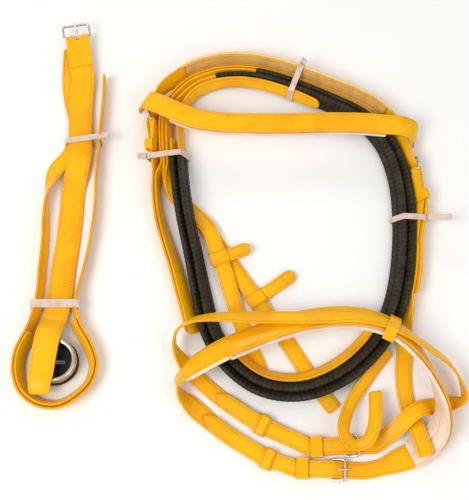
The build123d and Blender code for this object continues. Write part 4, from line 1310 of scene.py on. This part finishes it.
@dataclass(frozen=True)
class PadShape:
    """The section of a padded lining: lobes between sewn channels, and a rolled edge.

    Args:
        channels: Where the sewn channels are, as shares of half the width.
        depth: The depth of a channel.
        roll: The width of the rolled edge.
    """

    channels: tuple[float, ...] = (0.0,)
    depth: float = 1.1
    roll: float = 1.9

    def outline(self, width: float, thickness: float, along: float) -> list[Corner]:
        """Points of the outline, as a strap's."""
        a, b = width / 2, thickness / 2
        rows: list[Corner] = []
        for k in range(5):
            angle = pi / 2 * k / 4
            across = a - self.roll * 0.5 + self.roll * 0.5 * cos(angle)
            rows.append((across, b * 0.8 * sin(angle), 0.0, 1.0, 0.0))
        rows.append((a - self.roll, b * 0.42, 1.0, 0.6, 0.0))
        count = 17
        inner = a - self.roll - 0.6
        puff = 0.12 * sin(along / 9.0) + 0.08 * sin(along / 4.3)
        for k in range(count):
            u = 1 - 2 * k / (count - 1)
            near = min(abs(abs(u) - c) for c in self.channels)
            dip = max(0.0, 1 - near * inner / 1.3)
            lobe = sqrt(max(0.0, 1 - abs(u) ** 4))
            y = b * (0.45 + 0.55 * lobe) - self.depth * dip * dip + puff * lobe * (1 - dip)
            rows.append((u * inner, min(b, y), dip, 0.0, 0.0))
        rows.append((-a + self.roll, b * 0.42, 1.0, 0.6, 0.0))
        for k in range(5):
            angle = pi / 2 * (4 - k) / 4
            across = -a + self.roll * 0.5 - self.roll * 0.5 * cos(angle)
            rows.append((across, b * 0.8 * sin(angle), 0.0, 1.0, 0.0))
        under = [
            (x, -y if k < 6 or k > 22 else -b * 0.92, 0.0, near, 0.0)
            for k, (x, y, _, near, _) in enumerate(rows)
        ]
        return rows + list(reversed(under[1:-1]))


Shape = Union[StrapShape, GripShape, PadShape]


@dataclass(frozen=True)
class StrapMaker:
    """Makes one strap, grip or lining as a mesh.

    Args:
        shape: The section.
        thickness: Its thickness.
        start: How it starts.
        finish: How it ends.
        step: The distance between its sections.
    """

    shape: Shape = StrapShape()
    thickness: float = SIZES.strap
    start: End = End.SQUARE
    finish: End = End.SQUARE
    step: float = 2.6

    @staticmethod
    def reach(end: End, width: float) -> float:
        """The length over which an end is shaped."""
        return {End.SQUARE: 2.6, End.ROUND: width * 0.5, End.POINT: width * 0.9, End.SOFT: 3.2}[end]

    @staticmethod
    def narrowing(end: End, reach: float, distance: float, width: float) -> tuple[float, float]:
        """Shares of the width and of the thickness at a distance from an end."""
        if distance >= reach:
            return 1.0, 1.0
        f = max(0.0, distance / reach)
        curve = sqrt(max(0.0, 1 - (1 - f) ** 2))
        thin = 0.55 + 0.45 * min(1.0, distance / 1.0)
        if end is End.ROUND:
            return max(0.06, curve), thin
        if end is End.POINT:
            return max(0.08, (1 - (1 - f) ** 1.5) ** 0.85), thin
        if end is End.SOFT:
            return 1 - 1.6 / width * (1 - curve) * 2, max(0.2, curve)
        return 1 - 2 * 2.2 / width * (1 - curve), thin

    def make(self, name: str, rings: Sequence[Ring]) -> bpy.types.Object:
        """Makes the mesh.

        Args:
            name: The piece's name.
            rings: The rings that it follows.

        Returns:
            The object.
        """
        at_start = self.reach(self.start, rings[0].width)
        at_end = self.reach(self.finish, rings[-1].width)
        longest = max(at_start, at_end)
        marks = [longest * (1 - cos(pi / 2 * k / 7)) for k in range(1, 8)]
        along = smooth(rings, self.step, marks)
        total = along[-1].along
        skin = Skin()
        loops = []
        for place in along:
            if place.along < total / 2:
                wide, thick = self.narrowing(self.start, at_start, place.along, place.width)
            else:
                wide, thick = self.narrowing(self.finish, at_end, total - place.along, place.width)
            width = place.width * wide
            loop = []
            for x, y, sunk, near, rib in self.shape.outline(place.width, self.thickness, place.along):
                loop.append(skin.add(
                    place.point(x * wide, y * thick), along_m=place.along * MM, across_m=x * MM, sunk=sunk,
                    edge=near, rib=rib,
                ))
            loops.append(loop)
        skin.join(loops)
        return skin.object(name)


def tube(points: Sequence[Vector], radii: Sequence[float], closed: bool = False, sides: int = 14) -> Skin:
    """A round bar along a line of points.

    Args:
        points: The points.
        radii: The bar's radius at each point.
        closed: True if the bar closes on itself.
        sides: The number of sides of its section.

    Returns:
        The mesh.
    """
    count = len(points)
    skin = Skin()
    loops = []
    normal: Vector | None = None
    for i, point in enumerate(points):
        ahead = points[(i + 1) % count] if closed else points[min(i + 1, count - 1)]
        behind = points[i - 1] if closed or i > 0 else points[0]
        run = (ahead - behind).normalized()
        if normal is None:
            normal = run.cross(UP) if abs(run.z) < 0.9 else run.cross(Vector((1.0, 0.0, 0.0)))
        normal = (normal - run * normal.dot(run)).normalized()
        other = run.cross(normal)
        loops.append([
            skin.add(point + (normal * cos(2 * pi * k / sides) + other * sin(2 * pi * k / sides)) * radii[i])
            for k in range(sides)
        ])
    skin.join(loops, closed=closed)
    return skin


def rounded(corners: Sequence[Vector], radius: float, closed: bool = True, arc: int = 6) -> list[Vector]:
    """A line through corners with each corner rounded.

    Args:
        corners: The corners.
        radius: How far from a corner its round starts.
        closed: True if the last corner joins the first.
        arc: The number of points in each round.

    Returns:
        The points.
    """
    points = []
    count = len(corners)
    for i, corner in enumerate(corners):
        if not closed and i in (0, count - 1):
            points.append(corner)
            continue
        before, after = corners[i - 1], corners[(i + 1) % count]
        back = min(radius, (before - corner).length * 0.49)
        fore = min(radius, (after - corner).length * 0.49)
        a = corner + (before - corner).normalized() * back
        b = corner + (after - corner).normalized() * fore
        for k in range(arc + 1):
            f = k / arc
            points.append(a * (1 - f) ** 2 + corner * (2 * f * (1 - f)) + b * f**2)
    return points


def spread(points: Sequence[Vector], step: float, closed: bool = True) -> list[Vector]:
    """The same line with a point about every step."""
    line = list(points) + ([points[0]] if closed else [])
    result = []
    for a, b in zip(line, line[1:]):
        pieces = max(1, ceil((b - a).length / step))
        result += [a.lerp(b, k / pieces) for k in range(pieces)]
    return result if closed else result + [line[-1]]


def sewn(skins: Skin, place: Slice, x: float, lift: float, length: float, radius: float) -> None:
    """Adds one stitch to a mesh, half sunk in a strap's face.

    Args:
        skins: The mesh that it is added to.
        place: The slice of the strap under its middle.
        x: How far across the strap it is.
        lift: The height of the face there.
        length: Its length.
        radius: Its thread's radius.
    """
    loops = []
    for k in range(5):
        f = k / 4 * 2 - 1
        thick = radius * sqrt(max(0.08, 1 - f**4))
        drop = radius * 0.9 * f**4
        loops.append([
            skins.add(place.point(
                x + thick * cos(2 * pi * j / 6), lift - drop + thick * sin(2 * pi * j / 6), f * length / 2,
            ))
            for j in range(6)
        ])
    skins.join(loops)


@dataclass(frozen=True)
class Seam:
    """Rows of stitches along a strap.

    Args:
        rows: How far in from the edges the rows are.
        pitch: The distance from stitch to stitch.
        length: A stitch's length.
        radius: The thread's radius.
        lift: The height of the strap's face at the rows.
        both_faces: True if the other face has rows too.
    """

    rows: tuple[float, ...] = (2.3,)
    pitch: float = 3.3
    length: float = 2.3
    radius: float = 0.30
    lift: float = 1.2
    both_faces: bool = False

    def make(
        self, name: str, rings: Sequence[Ring], start: float = 3.0, stop: float = 3.0
    ) -> bpy.types.Object:
        """Makes the rows of stitches.

        Args:
            name: The piece's name.
            rings: The strap's rings.
            start: How far from the strap's start they start.
            stop: How far from its end they stop.

        Returns:
            The object.
        """
        skin = Skin()
        along = smooth(rings, self.pitch)
        total = along[-1].along
        for place in along:
            if not start < place.along < total - stop:
                continue
            for row in self.rows:
                x = place.width / 2 - row
                for side in ((-1, 1) if x > 0.2 else (0,)):
                    sewn(skin, place, x * side, self.lift, self.length, self.radius)
                    if self.both_faces:
                        sewn(skin, place, x * side, -self.lift, self.length, self.radius)
        return skin.object(name)


def band(
    name: str, place: Slice, path: Sequence[tuple[float, float]], length: float, wall: float, closed: bool
) -> bpy.types.Object:
    """A loop of strap that goes round other straps.

    Args:
        name: The piece's name.
        place: The slice that the loop stands on.
        path: Points of its inner side across the straps, anticlockwise.
        length: Its length along the straps.
        wall: Its thickness.
        closed: True if it goes all the way round.

    Returns:
        The object.
    """
    line = [Vector((x, y, 0.0)) for x, y in path]
    count = len(line)
    skin = Skin()
    loops = []
    half = length / 2
    for i, point in enumerate(line):
        ahead = line[(i + 1) % count] if closed else line[min(i + 1, count - 1)]
        behind = line[i - 1] if closed or i > 0 else line[0]
        way = (ahead - behind).normalized()
        out = Vector((way.y, -way.x, 0.0))
        loop = []
        for lift, z, sunk, near in (
            (0.05, -half, 0.0, 1.0), (wall * 0.55, -half, 0.0, 1.0), (wall * 0.93, -half + 0.45, 0.0, 1.0),
            (wall * 0.72, -half + 1.5, 1.0, 0.3), (wall, -half + 2.3, 0.0, 0.0), (wall, 0.0, 0.0, 0.0),
            (wall, half - 2.3, 0.0, 0.0), (wall * 0.72, half - 1.5, 1.0, 0.3),
            (wall * 0.93, half - 0.45, 0.0, 1.0),
            (wall * 0.55, half, 0.0, 1.0), (0.05, half, 0.0, 1.0),
        ):
            spot = point + out * lift
            loop.append(skin.add(
                place.point(spot.x, spot.y, z),
                along_m=i * MM, across_m=z * MM, sunk=sunk, edge=near, rib=0.0,
            ))
        loops.append(loop)
    skin.join(loops, closed=closed)
    return skin.object(name)


def hoop(half: float, low: float, high: float, corner: float, closed: bool) -> list[tuple[float, float]]:
    """The path of a loop: up the right side, over the top and down the left.

    Args:
        half: Half the width inside.
        low: The height of its lowest part.
        high: The height of its top.
        corner: The radius of its corners.
        closed: True if it goes back along the bottom.

    Returns:
        The path's points.
    """
    corners = [Vector((x, y, 0.0)) for x, y in ((half, low), (half, high), (-half, high), (-half, low))]
    line = spread(rounded(corners, corner, closed=closed), 1.6, closed=closed)
    return [(p.x, p.y) for p in line]


# ---------------------------------------------------------------- sub-assemblies
@dataclass
class Assembly:
    """A group of pieces that share a body.

    Args:
        routes: The way that every strap takes.
        finishes: The materials.
        body: The body that the pieces ride on.
    """

    routes: Routes
    finishes: Finishes
    body: str = "bridle"

    def settle(
        self, piece: bpy.types.Object, finish: bpy.types.Material, slot: Slot, stands_for: Sequence[str] = (),
        body: str | None = None,
    ) -> bpy.types.Object:
        """Dresses a piece and sets it on its body.

        Args:
            piece: The piece.
            finish: Its material.
            slot: The slot of the record that the material belongs to; not used.
            stands_for: The solids that it is seen in place of.
            body: Its body, or None for the group's own.

        Returns:
            The piece.
        """
        piece.data.materials.append(finish)
        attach(piece, body or self.body)
        if stands_for:
            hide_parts(*stands_for)
        log.info("%s: %d points on %s", piece.name, len(piece.data.vertices), body or self.body)
        return piece

    def coat(self, node: str, finish: bpy.types.Material, bevel: float) -> None:
        """Gives a solid that is kept a finish and rounded edges.

        Args:
            node: The solid's name.
            finish: Its material.
            bevel: The width of its rounded edges.
        """
        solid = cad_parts[node]
        solid.data.materials.clear()
        solid.data.materials.append(finish)
        if bevel > 0:
            soft = solid.modifiers.new("rounded_edges", "BEVEL")
            soft.width = bevel * MM
            soft.segments = 4
            soft.limit_method = "ANGLE"
            soft.angle_limit = radians(35)
            soft.harden_normals = False
        log.info("%s: kept and coated", node)

    def strap(
        self, node: str, rings: Sequence[Ring], start: End = End.SQUARE, finish: End = End.SQUARE,
        shape: Shape | None = None,
    ) -> bpy.types.Object:
        """A yellow strap in place of its solid.

        Args:
            node: The solid's name, which the piece's name starts with.
            rings: The strap's rings.
            start: How it starts.
            finish: How it ends.
            shape: Its section, or None for the usual one.

        Returns:
            The piece.
        """
        maker = StrapMaker(shape or StrapShape(), SIZES.strap, start, finish)
        return self.settle(maker.make(f"{node}_skin", rings), self.finishes.strap, Slot.STRAP, [node])

    def lining(
        self, node: str, rings: Sequence[Ring], shape: PadShape, fill: float,
        cloth: bpy.types.Material | None = None,
    ) -> bpy.types.Object:
        """A padded lining in place of its solid.

        Args:
            node: The solid's name.
            rings: The lining's rings.
            shape: Its section.
            fill: How tight it is filled; not used.
            cloth: Its material, or None for the usual lining.

        Returns:
            The piece.
        """
        maker = StrapMaker(shape, SIZES.padding, End.SOFT, End.SOFT, 1.8)
        finish = cloth or self.finishes.lining
        piece = self.settle(maker.make(f"{node}_cloth", rings), finish, Slot.PADDING, [node])
        return piece

    def stitches(
        self, name: str, rings: Sequence[Ring], seam: Seam, start: float = 3.0, stop: float = 3.0
    ) -> None:
        """Rows of yellow stitches on a strap."""
        self.settle(seam.make(name, rings, start, stop), self.finishes.thread, Slot.STRAP)


@dataclass
class Reins(Assembly):
    """Both reins, their rubber grips and the stops that slide on them.

    Args:
        tab_lift: How far the end of a stop's tab curls up.
        seam_pitch: The distance between the stitches that hold a grip.
    """

    tab_lift: float = 1.6
    seam_pitch: float = 4.2

    def build(self) -> None:
        """Builds the reins, the grips and the stops."""
        w = self.routes
        self.strap("rein_a", w.rein_a, End.SQUARE, End.ROUND)
        self.strap("rein_b", w.rein_b, End.SQUARE, End.SOFT)
        self.grip("rein_a_grip", w.grip_a)
        self.grip("rein_b_grip", w.grip_b)
        self.stop("rein_a_stop", w.rein_a, 5, SIZES.stop_reach_a)
        self.stop("rein_b_stop", w.rein_b, 4, SIZES.stop_reach_b)

    def grip(self, node: str, rings: Sequence[Ring]) -> None:
        """A ribbed grip and the seam along its middle."""
        step = 0.85
        maker = StrapMaker(GripShape(), SIZES.grip_thickness, End.SOFT, End.SOFT, step)
        self.settle(maker.make(f"{node}_rubber", rings), self.finishes.rubber, Slot.RUBBER, [node])
        seam = Seam((SIZES.grip / 2,), self.seam_pitch, 3.0, 0.36, SIZES.grip_thickness / 2 - 0.75, True)
        self.settle(seam.make(f"{node}_seam", rings), self.finishes.black_thread, Slot.RUBBER)

    def stop(self, node: str, rings: Sequence[Ring], index: int, reach: float) -> None:
        """A stop: a loop round the rein, and a tab with a round end beside it."""
        a, b = rings[index].centre, rings[index + 1].centre
        run = (b - a).normalized()
        across = (rings[index].across - run * rings[index].across.dot(run)).normalized()
        place = Slice((a + b) / 2, across, run.cross(across), run, SIZES.rein)
        half = SIZES.rein / 2 + SIZES.gap
        high = SIZES.strap / 2 + SIZES.gap
        path = hoop(half, -high, high, 1.2, True)
        loop = band(f"{node}_loop", place, path, SIZES.stop_length, SIZES.keeper_wall, True)
        self.settle(loop, self.finishes.strap, Slot.STRAP, [node], node)
        edge = half + SIZES.keeper_wall / 2
        tab = [
            Ring(place.point(-edge - reach * f, self.tab_lift * f * f), run, SIZES.tab * wide, -across)
            for f, wide in ((0.0, 1.12), (0.12, 1.0), (0.35, 0.96), (0.7, 1.0), (0.9, 1.0), (1.0, 1.0))
        ]
        for ring in tab:
            ring.run = None
        piece = StrapMaker(StrapShape(), SIZES.strap, End.SOFT, End.ROUND, 1.8).make(f"{node}_tab", tab)
        self.settle(piece, self.finishes.strap, Slot.STRAP, (), node)


@dataclass
class Head(Assembly):
    """Headpiece with its padding and piping, throatlatch, cheekpieces and the noseband's headstrap.

    Args:
        piping: The radius of the piping on the headpiece's upper edge.
    """

    piping: float = 2.4

    def build(self) -> None:
        """Builds the straps that go over and beside the head."""
        w = self.routes
        self.strap("headpiece", w.headpiece, End.POINT, End.SQUARE)
        # The headpiece's lining wears the darker copy of the lining cloth, as painted shade.
        self.lining("headpiece_padding", w.headpiece_pad, PadShape((0.0,)), 0.7, self.finishes.shaded_head_lining)
        self.strap("throatlatch", w.throatlatch, End.SQUARE, End.SOFT)
        self.strap("cheekpiece_left", w.cheek_left, End.ROUND, End.SOFT)
        self.strap("cheekpiece_right", w.cheek_right, End.SOFT, End.SQUARE)
        self.strap("noseband_headstrap", w.headstrap)
        self.stitches("headpiece_stitches", w.headpiece_top, Seam(both_faces=True), 6.0, 6.0)
        self.edge_piping()

    def edge_piping(self) -> None:
        """Pale piping along the headpiece's upper edge."""
        line = smooth(self.routes.headpiece_top, 2.4)
        points = [place.point(place.width / 2 - self.piping * 0.4, 0.6) for place in line]
        last = len(points) - 1
        radii = [self.piping * min(1.0, 0.35 + 0.2 * min(k, last - k)) for k in range(last + 1)]
        skin = tube(points, radii, sides=12)
        skin.marks = {
            "along_m": [line[i // 12].along * MM for i in range(len(skin.points))],
            "across_m": [(i % 12) * 0.0008 for i in range(len(skin.points))],
            "sunk": [0.0] * len(skin.points),
            "edge": [0.0] * len(skin.points),
        }
        self.settle(skin.object("headpiece_piping"), self.finishes.piping, Slot.PADDING)


@dataclass
class NoseStraps(Assembly):
    """Noseband with its padding, flash strap, the loops on them and the strap for the bit.

    Args:
        roll: The radius of the lining's rolled edge.
        roll_out: How far past the noseband's edge the roll's centre lies.
        roll_lift: How far over the noseband's middle layer the roll's centre lies.
        roll_step: How far round the roll one side of it reaches, for its weave.
    """

    roll: float = 1.8
    roll_out: float = 0.2
    roll_lift: float = 1.2
    roll_step: float = 0.8

    def build(self) -> None:
        """Builds the noseband and all that goes with it."""
        w = self.routes
        s = SIZES
        self.strap("noseband", w.noseband, End.SOFT, End.POINT)
        self.lining("noseband_padding", w.noseband_pad, PadShape((0.0,)), 0.75)
        self.lining_roll()
        self.strap("flash_strap", w.flash_strap, End.SOFT, End.POINT)
        self.strap("bit_loop_strap", w.bit_loop)
        self.stitches("noseband_stitches", w.noseband_stretch, Seam(), 60.0, 30.0)
        self.keeper("flash_keeper", 27.3, -179.8, 153.4, s.flash)
        self.keeper("noseband_keeper", 32.0, -212.1, 157.5, s.tail)
        self.coat("nose_loop", self.finishes.strap_plain, 0.45)

    def lining_roll(self) -> None:
        """The rolled edge of the lining, carried on along the noseband past the padding's end."""
        reach = [
            place for place in smooth(self.routes.noseband_stretch, 2.0)
            if -50 < place.centre.x + MIDDLE.x < -4 and place.centre.y + MIDDLE.y > -142
        ]
        points = [place.point(place.width / 2 + self.roll_out, self.roll_lift) for place in reach]
        last = len(points) - 1
        radii = [self.roll * min(1.0, 0.3 + 0.2 * min(k, last - k)) for k in range(last + 1)]
        sides = 10
        skin = tube(points, radii, sides=sides)
        skin.marks = {
            "along_m": [reach[i // sides].along * MM for i in range(len(skin.points))],
            "across_m": [(i % sides) * self.roll_step * MM for i in range(len(skin.points))],
            "sunk": [0.0] * len(skin.points),
        }
        self.settle(skin.object("noseband_lining_roll"), self.finishes.lining, Slot.PADDING)

    def keeper(self, node: str, x: float, y: float, angle: float, width: float) -> None:
        """A loop that stands over two layers of a strap.

        Args:
            node: The name of the solid that it is seen in place of.
            x: Where it is along the bridle's width.
            y: Where it is along the bridle's length.
            angle: The way that the strap runs there, from +X.
            width: The strap's width.
        """
        run = Vector((cos(radians(angle)), sin(radians(angle)), 0.0))
        place = Slice(Vector((x, y, 0.0)) - MIDDLE, UP.cross(run), UP.copy(), run, width)
        high = 2 * SIZES.strap + 3 * SIZES.gap + 0.5
        path = hoop(width / 2 + SIZES.gap + 0.5, 0.05, high, 2.4, False)
        loop = band(f"{node}_loop", place, path, SIZES.keeper_length, SIZES.keeper_wall, False)
        self.settle(loop, self.finishes.strap, Slot.STRAP, [node])


@dataclass
class Brow(Assembly):
    """Browband and its padding."""

    def build(self) -> None:
        """Builds the browband, its padding and its stitches."""
        w = self.routes
        self.strap("browband", w.browband)
        self.lining("browband_padding", w.browband_pad, PadShape((0.0,)), 0.7)
        self.stitches("browband_stitches", w.browband, Seam(), 8.0, 8.0)


@dataclass
class Buckle(Assembly):
    """One buckle: a wire frame and its tongue, on the folded end of a strap.

    Args:
        name: The strap's name, which its solids' names start with.
        place: The buckle's axes.
        width: The strap's width.
        tilt: How far the frame stands up from its heel bar, in degrees.
        corner: The size of the frame's rounded corners.
    """

    name: str = "left"
    place: BucklePlace | None = None
    width: float = SIZES.cheek
    tilt: float = 15.0
    corner: float = 3.2

    def build(self) -> None:
        """Builds the frame, the tongue and the stitches of the fold."""
        self.wire_frame()
        self.tongue()
        self.coat(f"{self.name}_chape", self.finishes.strap_plain, 0.7)
        self.fold_stitches()

    def wire_frame(self) -> None:
        """The frame: a bar bent to a rectangle, a little thicker at its nose."""
        s = SIZES
        half = (self.width + s.wire) / 2 + 0.5
        tilt = radians(self.tilt)
        way = self.place.nose * cos(tilt) + self.place.lift * sin(tilt)
        heel = self.place.point(0, 0, s.eye_radius)
        ends = [(s.buckle_length, half), (0.0, half), (0.0, -half), (s.buckle_length, -half)]
        corners = [heel + way * a + self.place.side * b for a, b in ends]
        points = spread(rounded(corners, self.corner), 1.1)
        radii = []
        for point in points:
            share = (point - heel).dot(way) / s.buckle_length
            radii.append(s.wire / 2 * (0.94 + 0.16 * max(0.0, share) ** 3))
        skin = tube(points, radii, closed=True)
        node = f"{self.name}_buckle_frame"
        self.settle(skin.object(f"{node}_wire"), self.finishes.nickel, Slot.METAL, [node])

    def tongue(self) -> None:
        """The tongue: a pin curled round the heel bar, its point over the nose."""
        s = SIZES
        angle = radians(24.8)
        bar = self.place.point(0, 0, s.eye_radius)
        way = self.place.nose * cos(angle) + self.place.lift * sin(angle)
        rise = self.place.lift * cos(angle) - self.place.nose * sin(angle)
        lengths = [1.6, 3.0, 5.0, 7.5, 10.0, 12.5, 14.5, 16.0, 16.8, 17.15]
        sags = [0.0, -0.1, -0.25, -0.4, -0.45, -0.35, -0.1, 0.05, 0.1, 0.1]
        thick = [1.0, 1.0, 0.98, 0.95, 0.92, 0.88, 0.84, 0.76, 0.55, 0.15]
        line = [bar + way * a + rise * c for a, c in zip(lengths, sags)]
        shank = tube(line, [s.tongue_wire / 2 * t for t in thick])
        around = [
            bar + (way * cos(2 * pi * k / 20) + rise * sin(2 * pi * k / 20)) * 1.85 for k in range(20)
        ]
        for side in (-0.75, 0.0, 0.75):
            curl = tube([p + self.place.side * side for p in around], [0.58] * 20, closed=True, sides=10)
            start = len(shank.points)
            shank.points += curl.points
            shank.faces += [tuple(i + start for i in face) for face in curl.faces]
        node = f"{self.name}_buckle_tongue"
        self.settle(shank.object(f"{node}_pin"), self.finishes.nickel, Slot.METAL, [node], node)

    def fold_stitches(self) -> None:
        """Stitches along both edges of the fold, on its top."""
        rings = self.place.rings([(-6, 4.4), (-12, 3.7), (-20, 2.95), (-21.6, 2.95)], self.width)
        seam = Seam((1.9,), 3.0, 2.1, 0.3, 0.1)
        self.stitches(f"{self.name}_fold_stitches", rings, seam, 0.5, 0.5)


@dataclass
class Ties(Assembly):
    """The plastic ties round the coil and round the martingale.

    Args:
        names: The ties' solids.
        bevel: The width of their rounded edges.
    """

    names: tuple[str, ...] = ("tie_top", "tie_left", "tie_right", "tie_upper", "tie_lower")
    bevel: float = 0.35

    def build(self) -> None:
        """Coats the ties."""
        for name in self.names:
            self.coat(name, self.finishes.tie, self.bevel)


@dataclass
class Martingale(Assembly):
    """Girth strap, fork and neck strap, with their rings and rubber stop.

    Args:
        facets: The number of sides of a ring's wire.
    """

    facets: int = 20

    def build(self) -> None:
        """Builds the martingale."""
        w = self.routes
        self.strap("girth_strap", w.girth_strap, End.SOFT, End.SQUARE)
        self.strap("fork_strap", w.fork, End.SQUARE, End.SQUARE)
        self.strap("neck_strap", w.neck)
        self.stitches("girth_stitches", w.girth_strap, Seam(), 4.0, 4.0)
        middle = Vector((-177, -118, 0)) - MIDDLE
        low = SIZES.rubber_height + SIZES.ring_wire / 2 + 0.1
        self.ring("lower_ring", middle + UP * low)
        self.ring("upper_ring", middle + UP * (low + SIZES.ring_wire + 0.3))
        self.coat("rubber_stop", self.finishes.rubber_plain, 0.0)

    def ring(self, node: str, centre: Vector) -> None:
        """A round ring, which turns on a body of its own."""
        points = [
            centre + Vector((cos(2 * pi * k / 96), sin(2 * pi * k / 96), 0.0)) * SIZES.ring_radius
            for k in range(96)
        ]
        skin = tube(points, [SIZES.ring_wire / 2] * 96, closed=True, sides=self.facets)
        self.settle(skin.object(f"{node}_wire"), self.finishes.nickel, Slot.METAL, [node], node)


@dataclass
class Studio:
    """The floor, the lights and the camera.

    Args:
        floor_size: The length of the floor's sides, in metres.
        distance: The camera's distance from the bundle, in metres.
        elevation: The camera's height above the horizon, in degrees.
        focal: The height of the view's focal length in view heights.
    """

    finishes: Finishes
    floor_size: float = 4.0
    distance: float = 1.0
    elevation: float = 72.0
    focal: float = 970.0 / 500.0

    def build(self) -> None:
        """Builds the floor, the lights and the camera."""
        self.floor()
        self.lamp("key_light", (-0.85, -0.55, 1.35), 0.8, 0.8, 15.0, (1.0, 0.98, 0.95))
        self.lamp("fill_light", (0.9, -0.7, 1.1), 1.0, 1.0, 4.5, (1.0, 0.99, 0.98))
        self.lamp("glare_light", (-0.25, 1.35, 0.75), 0.35, 0.25, 3.0, (1.0, 0.98, 0.94))
        self.sky()
        self.camera()
        bpy.context.scene.view_settings.view_transform = "Standard"

    def floor(self) -> None:
        """The pale floor."""
        half = self.floor_size / 2 / MM
        skin = Skin()
        count = 8
        for i in range(count + 1):
            for j in range(count + 1):
                skin.add(Vector((-half + 2 * half * i / count, -half + 2 * half * j / count, -0.05)))
        for i in range(count):
            for j in range(count):
                a = i * (count + 1) + j
                skin.faces.append((a, a + count + 1, a + count + 2, a + 1))
        piece = skin.object("floor")
        piece.data.materials.append(self.finishes.floor)
        log.info("floor: laid")

    def lamp(
        self, name: str, place: tuple[float, float, float], width: float, height: float, power: float,
        colour: tuple[float, float, float],
    ) -> None:
        """A soft lamp that points at the bundle.

        Args:
            name: The lamp's name.
            place: Where it hangs, in metres.
            width: Its width in metres.
            height: Its height in metres.
            power: Its power in watts.
            colour: Its colour.
        """
        light = bpy.data.lights.new(name, "AREA")
        light.shape = "RECTANGLE"
        light.size = width
        light.size_y = height
        light.energy = power
        light.color = colour
        lamp = bpy.data.objects.new(name, light)
        lamp.location = place
        lamp.rotation_euler = (-Vector(place)).to_track_quat("-Z", "Y").to_euler()
        bpy.context.scene.collection.objects.link(lamp)
        log.info("%s: hung", name)

    def sky(self) -> None:
        """An even pale light from all round."""
        world = bpy.data.worlds.new("pale_room")
        world.use_nodes = True
        background = world.node_tree.nodes["Background"]
        background.inputs["Color"].default_value = (1.0, 1.0, 1.0, 1.0)
        background.inputs["Strength"].default_value = 0.62
        bpy.context.scene.world = world

    def camera(self) -> None:
        """The camera, south of the bundle and high above it."""
        lens = bpy.data.cameras.new("camera")
        lens.sensor_fit = "VERTICAL"
        lens.sensor_height = 24.0
        lens.lens = 24.0 * self.focal
        camera = bpy.data.objects.new("camera", lens)
        target = -MIDDLE * MM
        tilt = radians(self.elevation)
        camera.location = target + Vector((0.0, -cos(tilt), sin(tilt))) * self.distance
        camera.rotation_euler = (target - camera.location).to_track_quat("-Z", "Y").to_euler()
        bpy.context.scene.collection.objects.link(camera)
        bpy.context.scene.camera = camera
        log.info("camera: set")


def main() -> None:
    """Builds the bridle, the martingale and the studio."""
    logging.basicConfig(level=logging.INFO, format="%(name)s %(message)s")
    routes = Routes()
    finishes = Finishes()
    groups: list[Assembly] = [
        Reins(routes, finishes),
        Head(routes, finishes),
        NoseStraps(routes, finishes),
        Brow(routes, finishes),
        Buckle(routes, finishes, name="left", place=routes.left, width=SIZES.cheek),
        Buckle(routes, finishes, name="right", place=routes.right, width=SIZES.cheek),
        Buckle(routes, finishes, name="noseband", place=routes.nose, width=SIZES.tail),
        Buckle(routes, finishes, name="flash", place=routes.flash, width=SIZES.flash),
        Buckle(routes, finishes, body="martingale", name="girth", place=routes.girth, width=SIZES.girth),
        Ties(routes, finishes),
        Martingale(routes, finishes, body="martingale"),
    ]
    for group in groups:
        group.build()
    Studio(finishes).build()


if __name__ == "__main__":
    main()
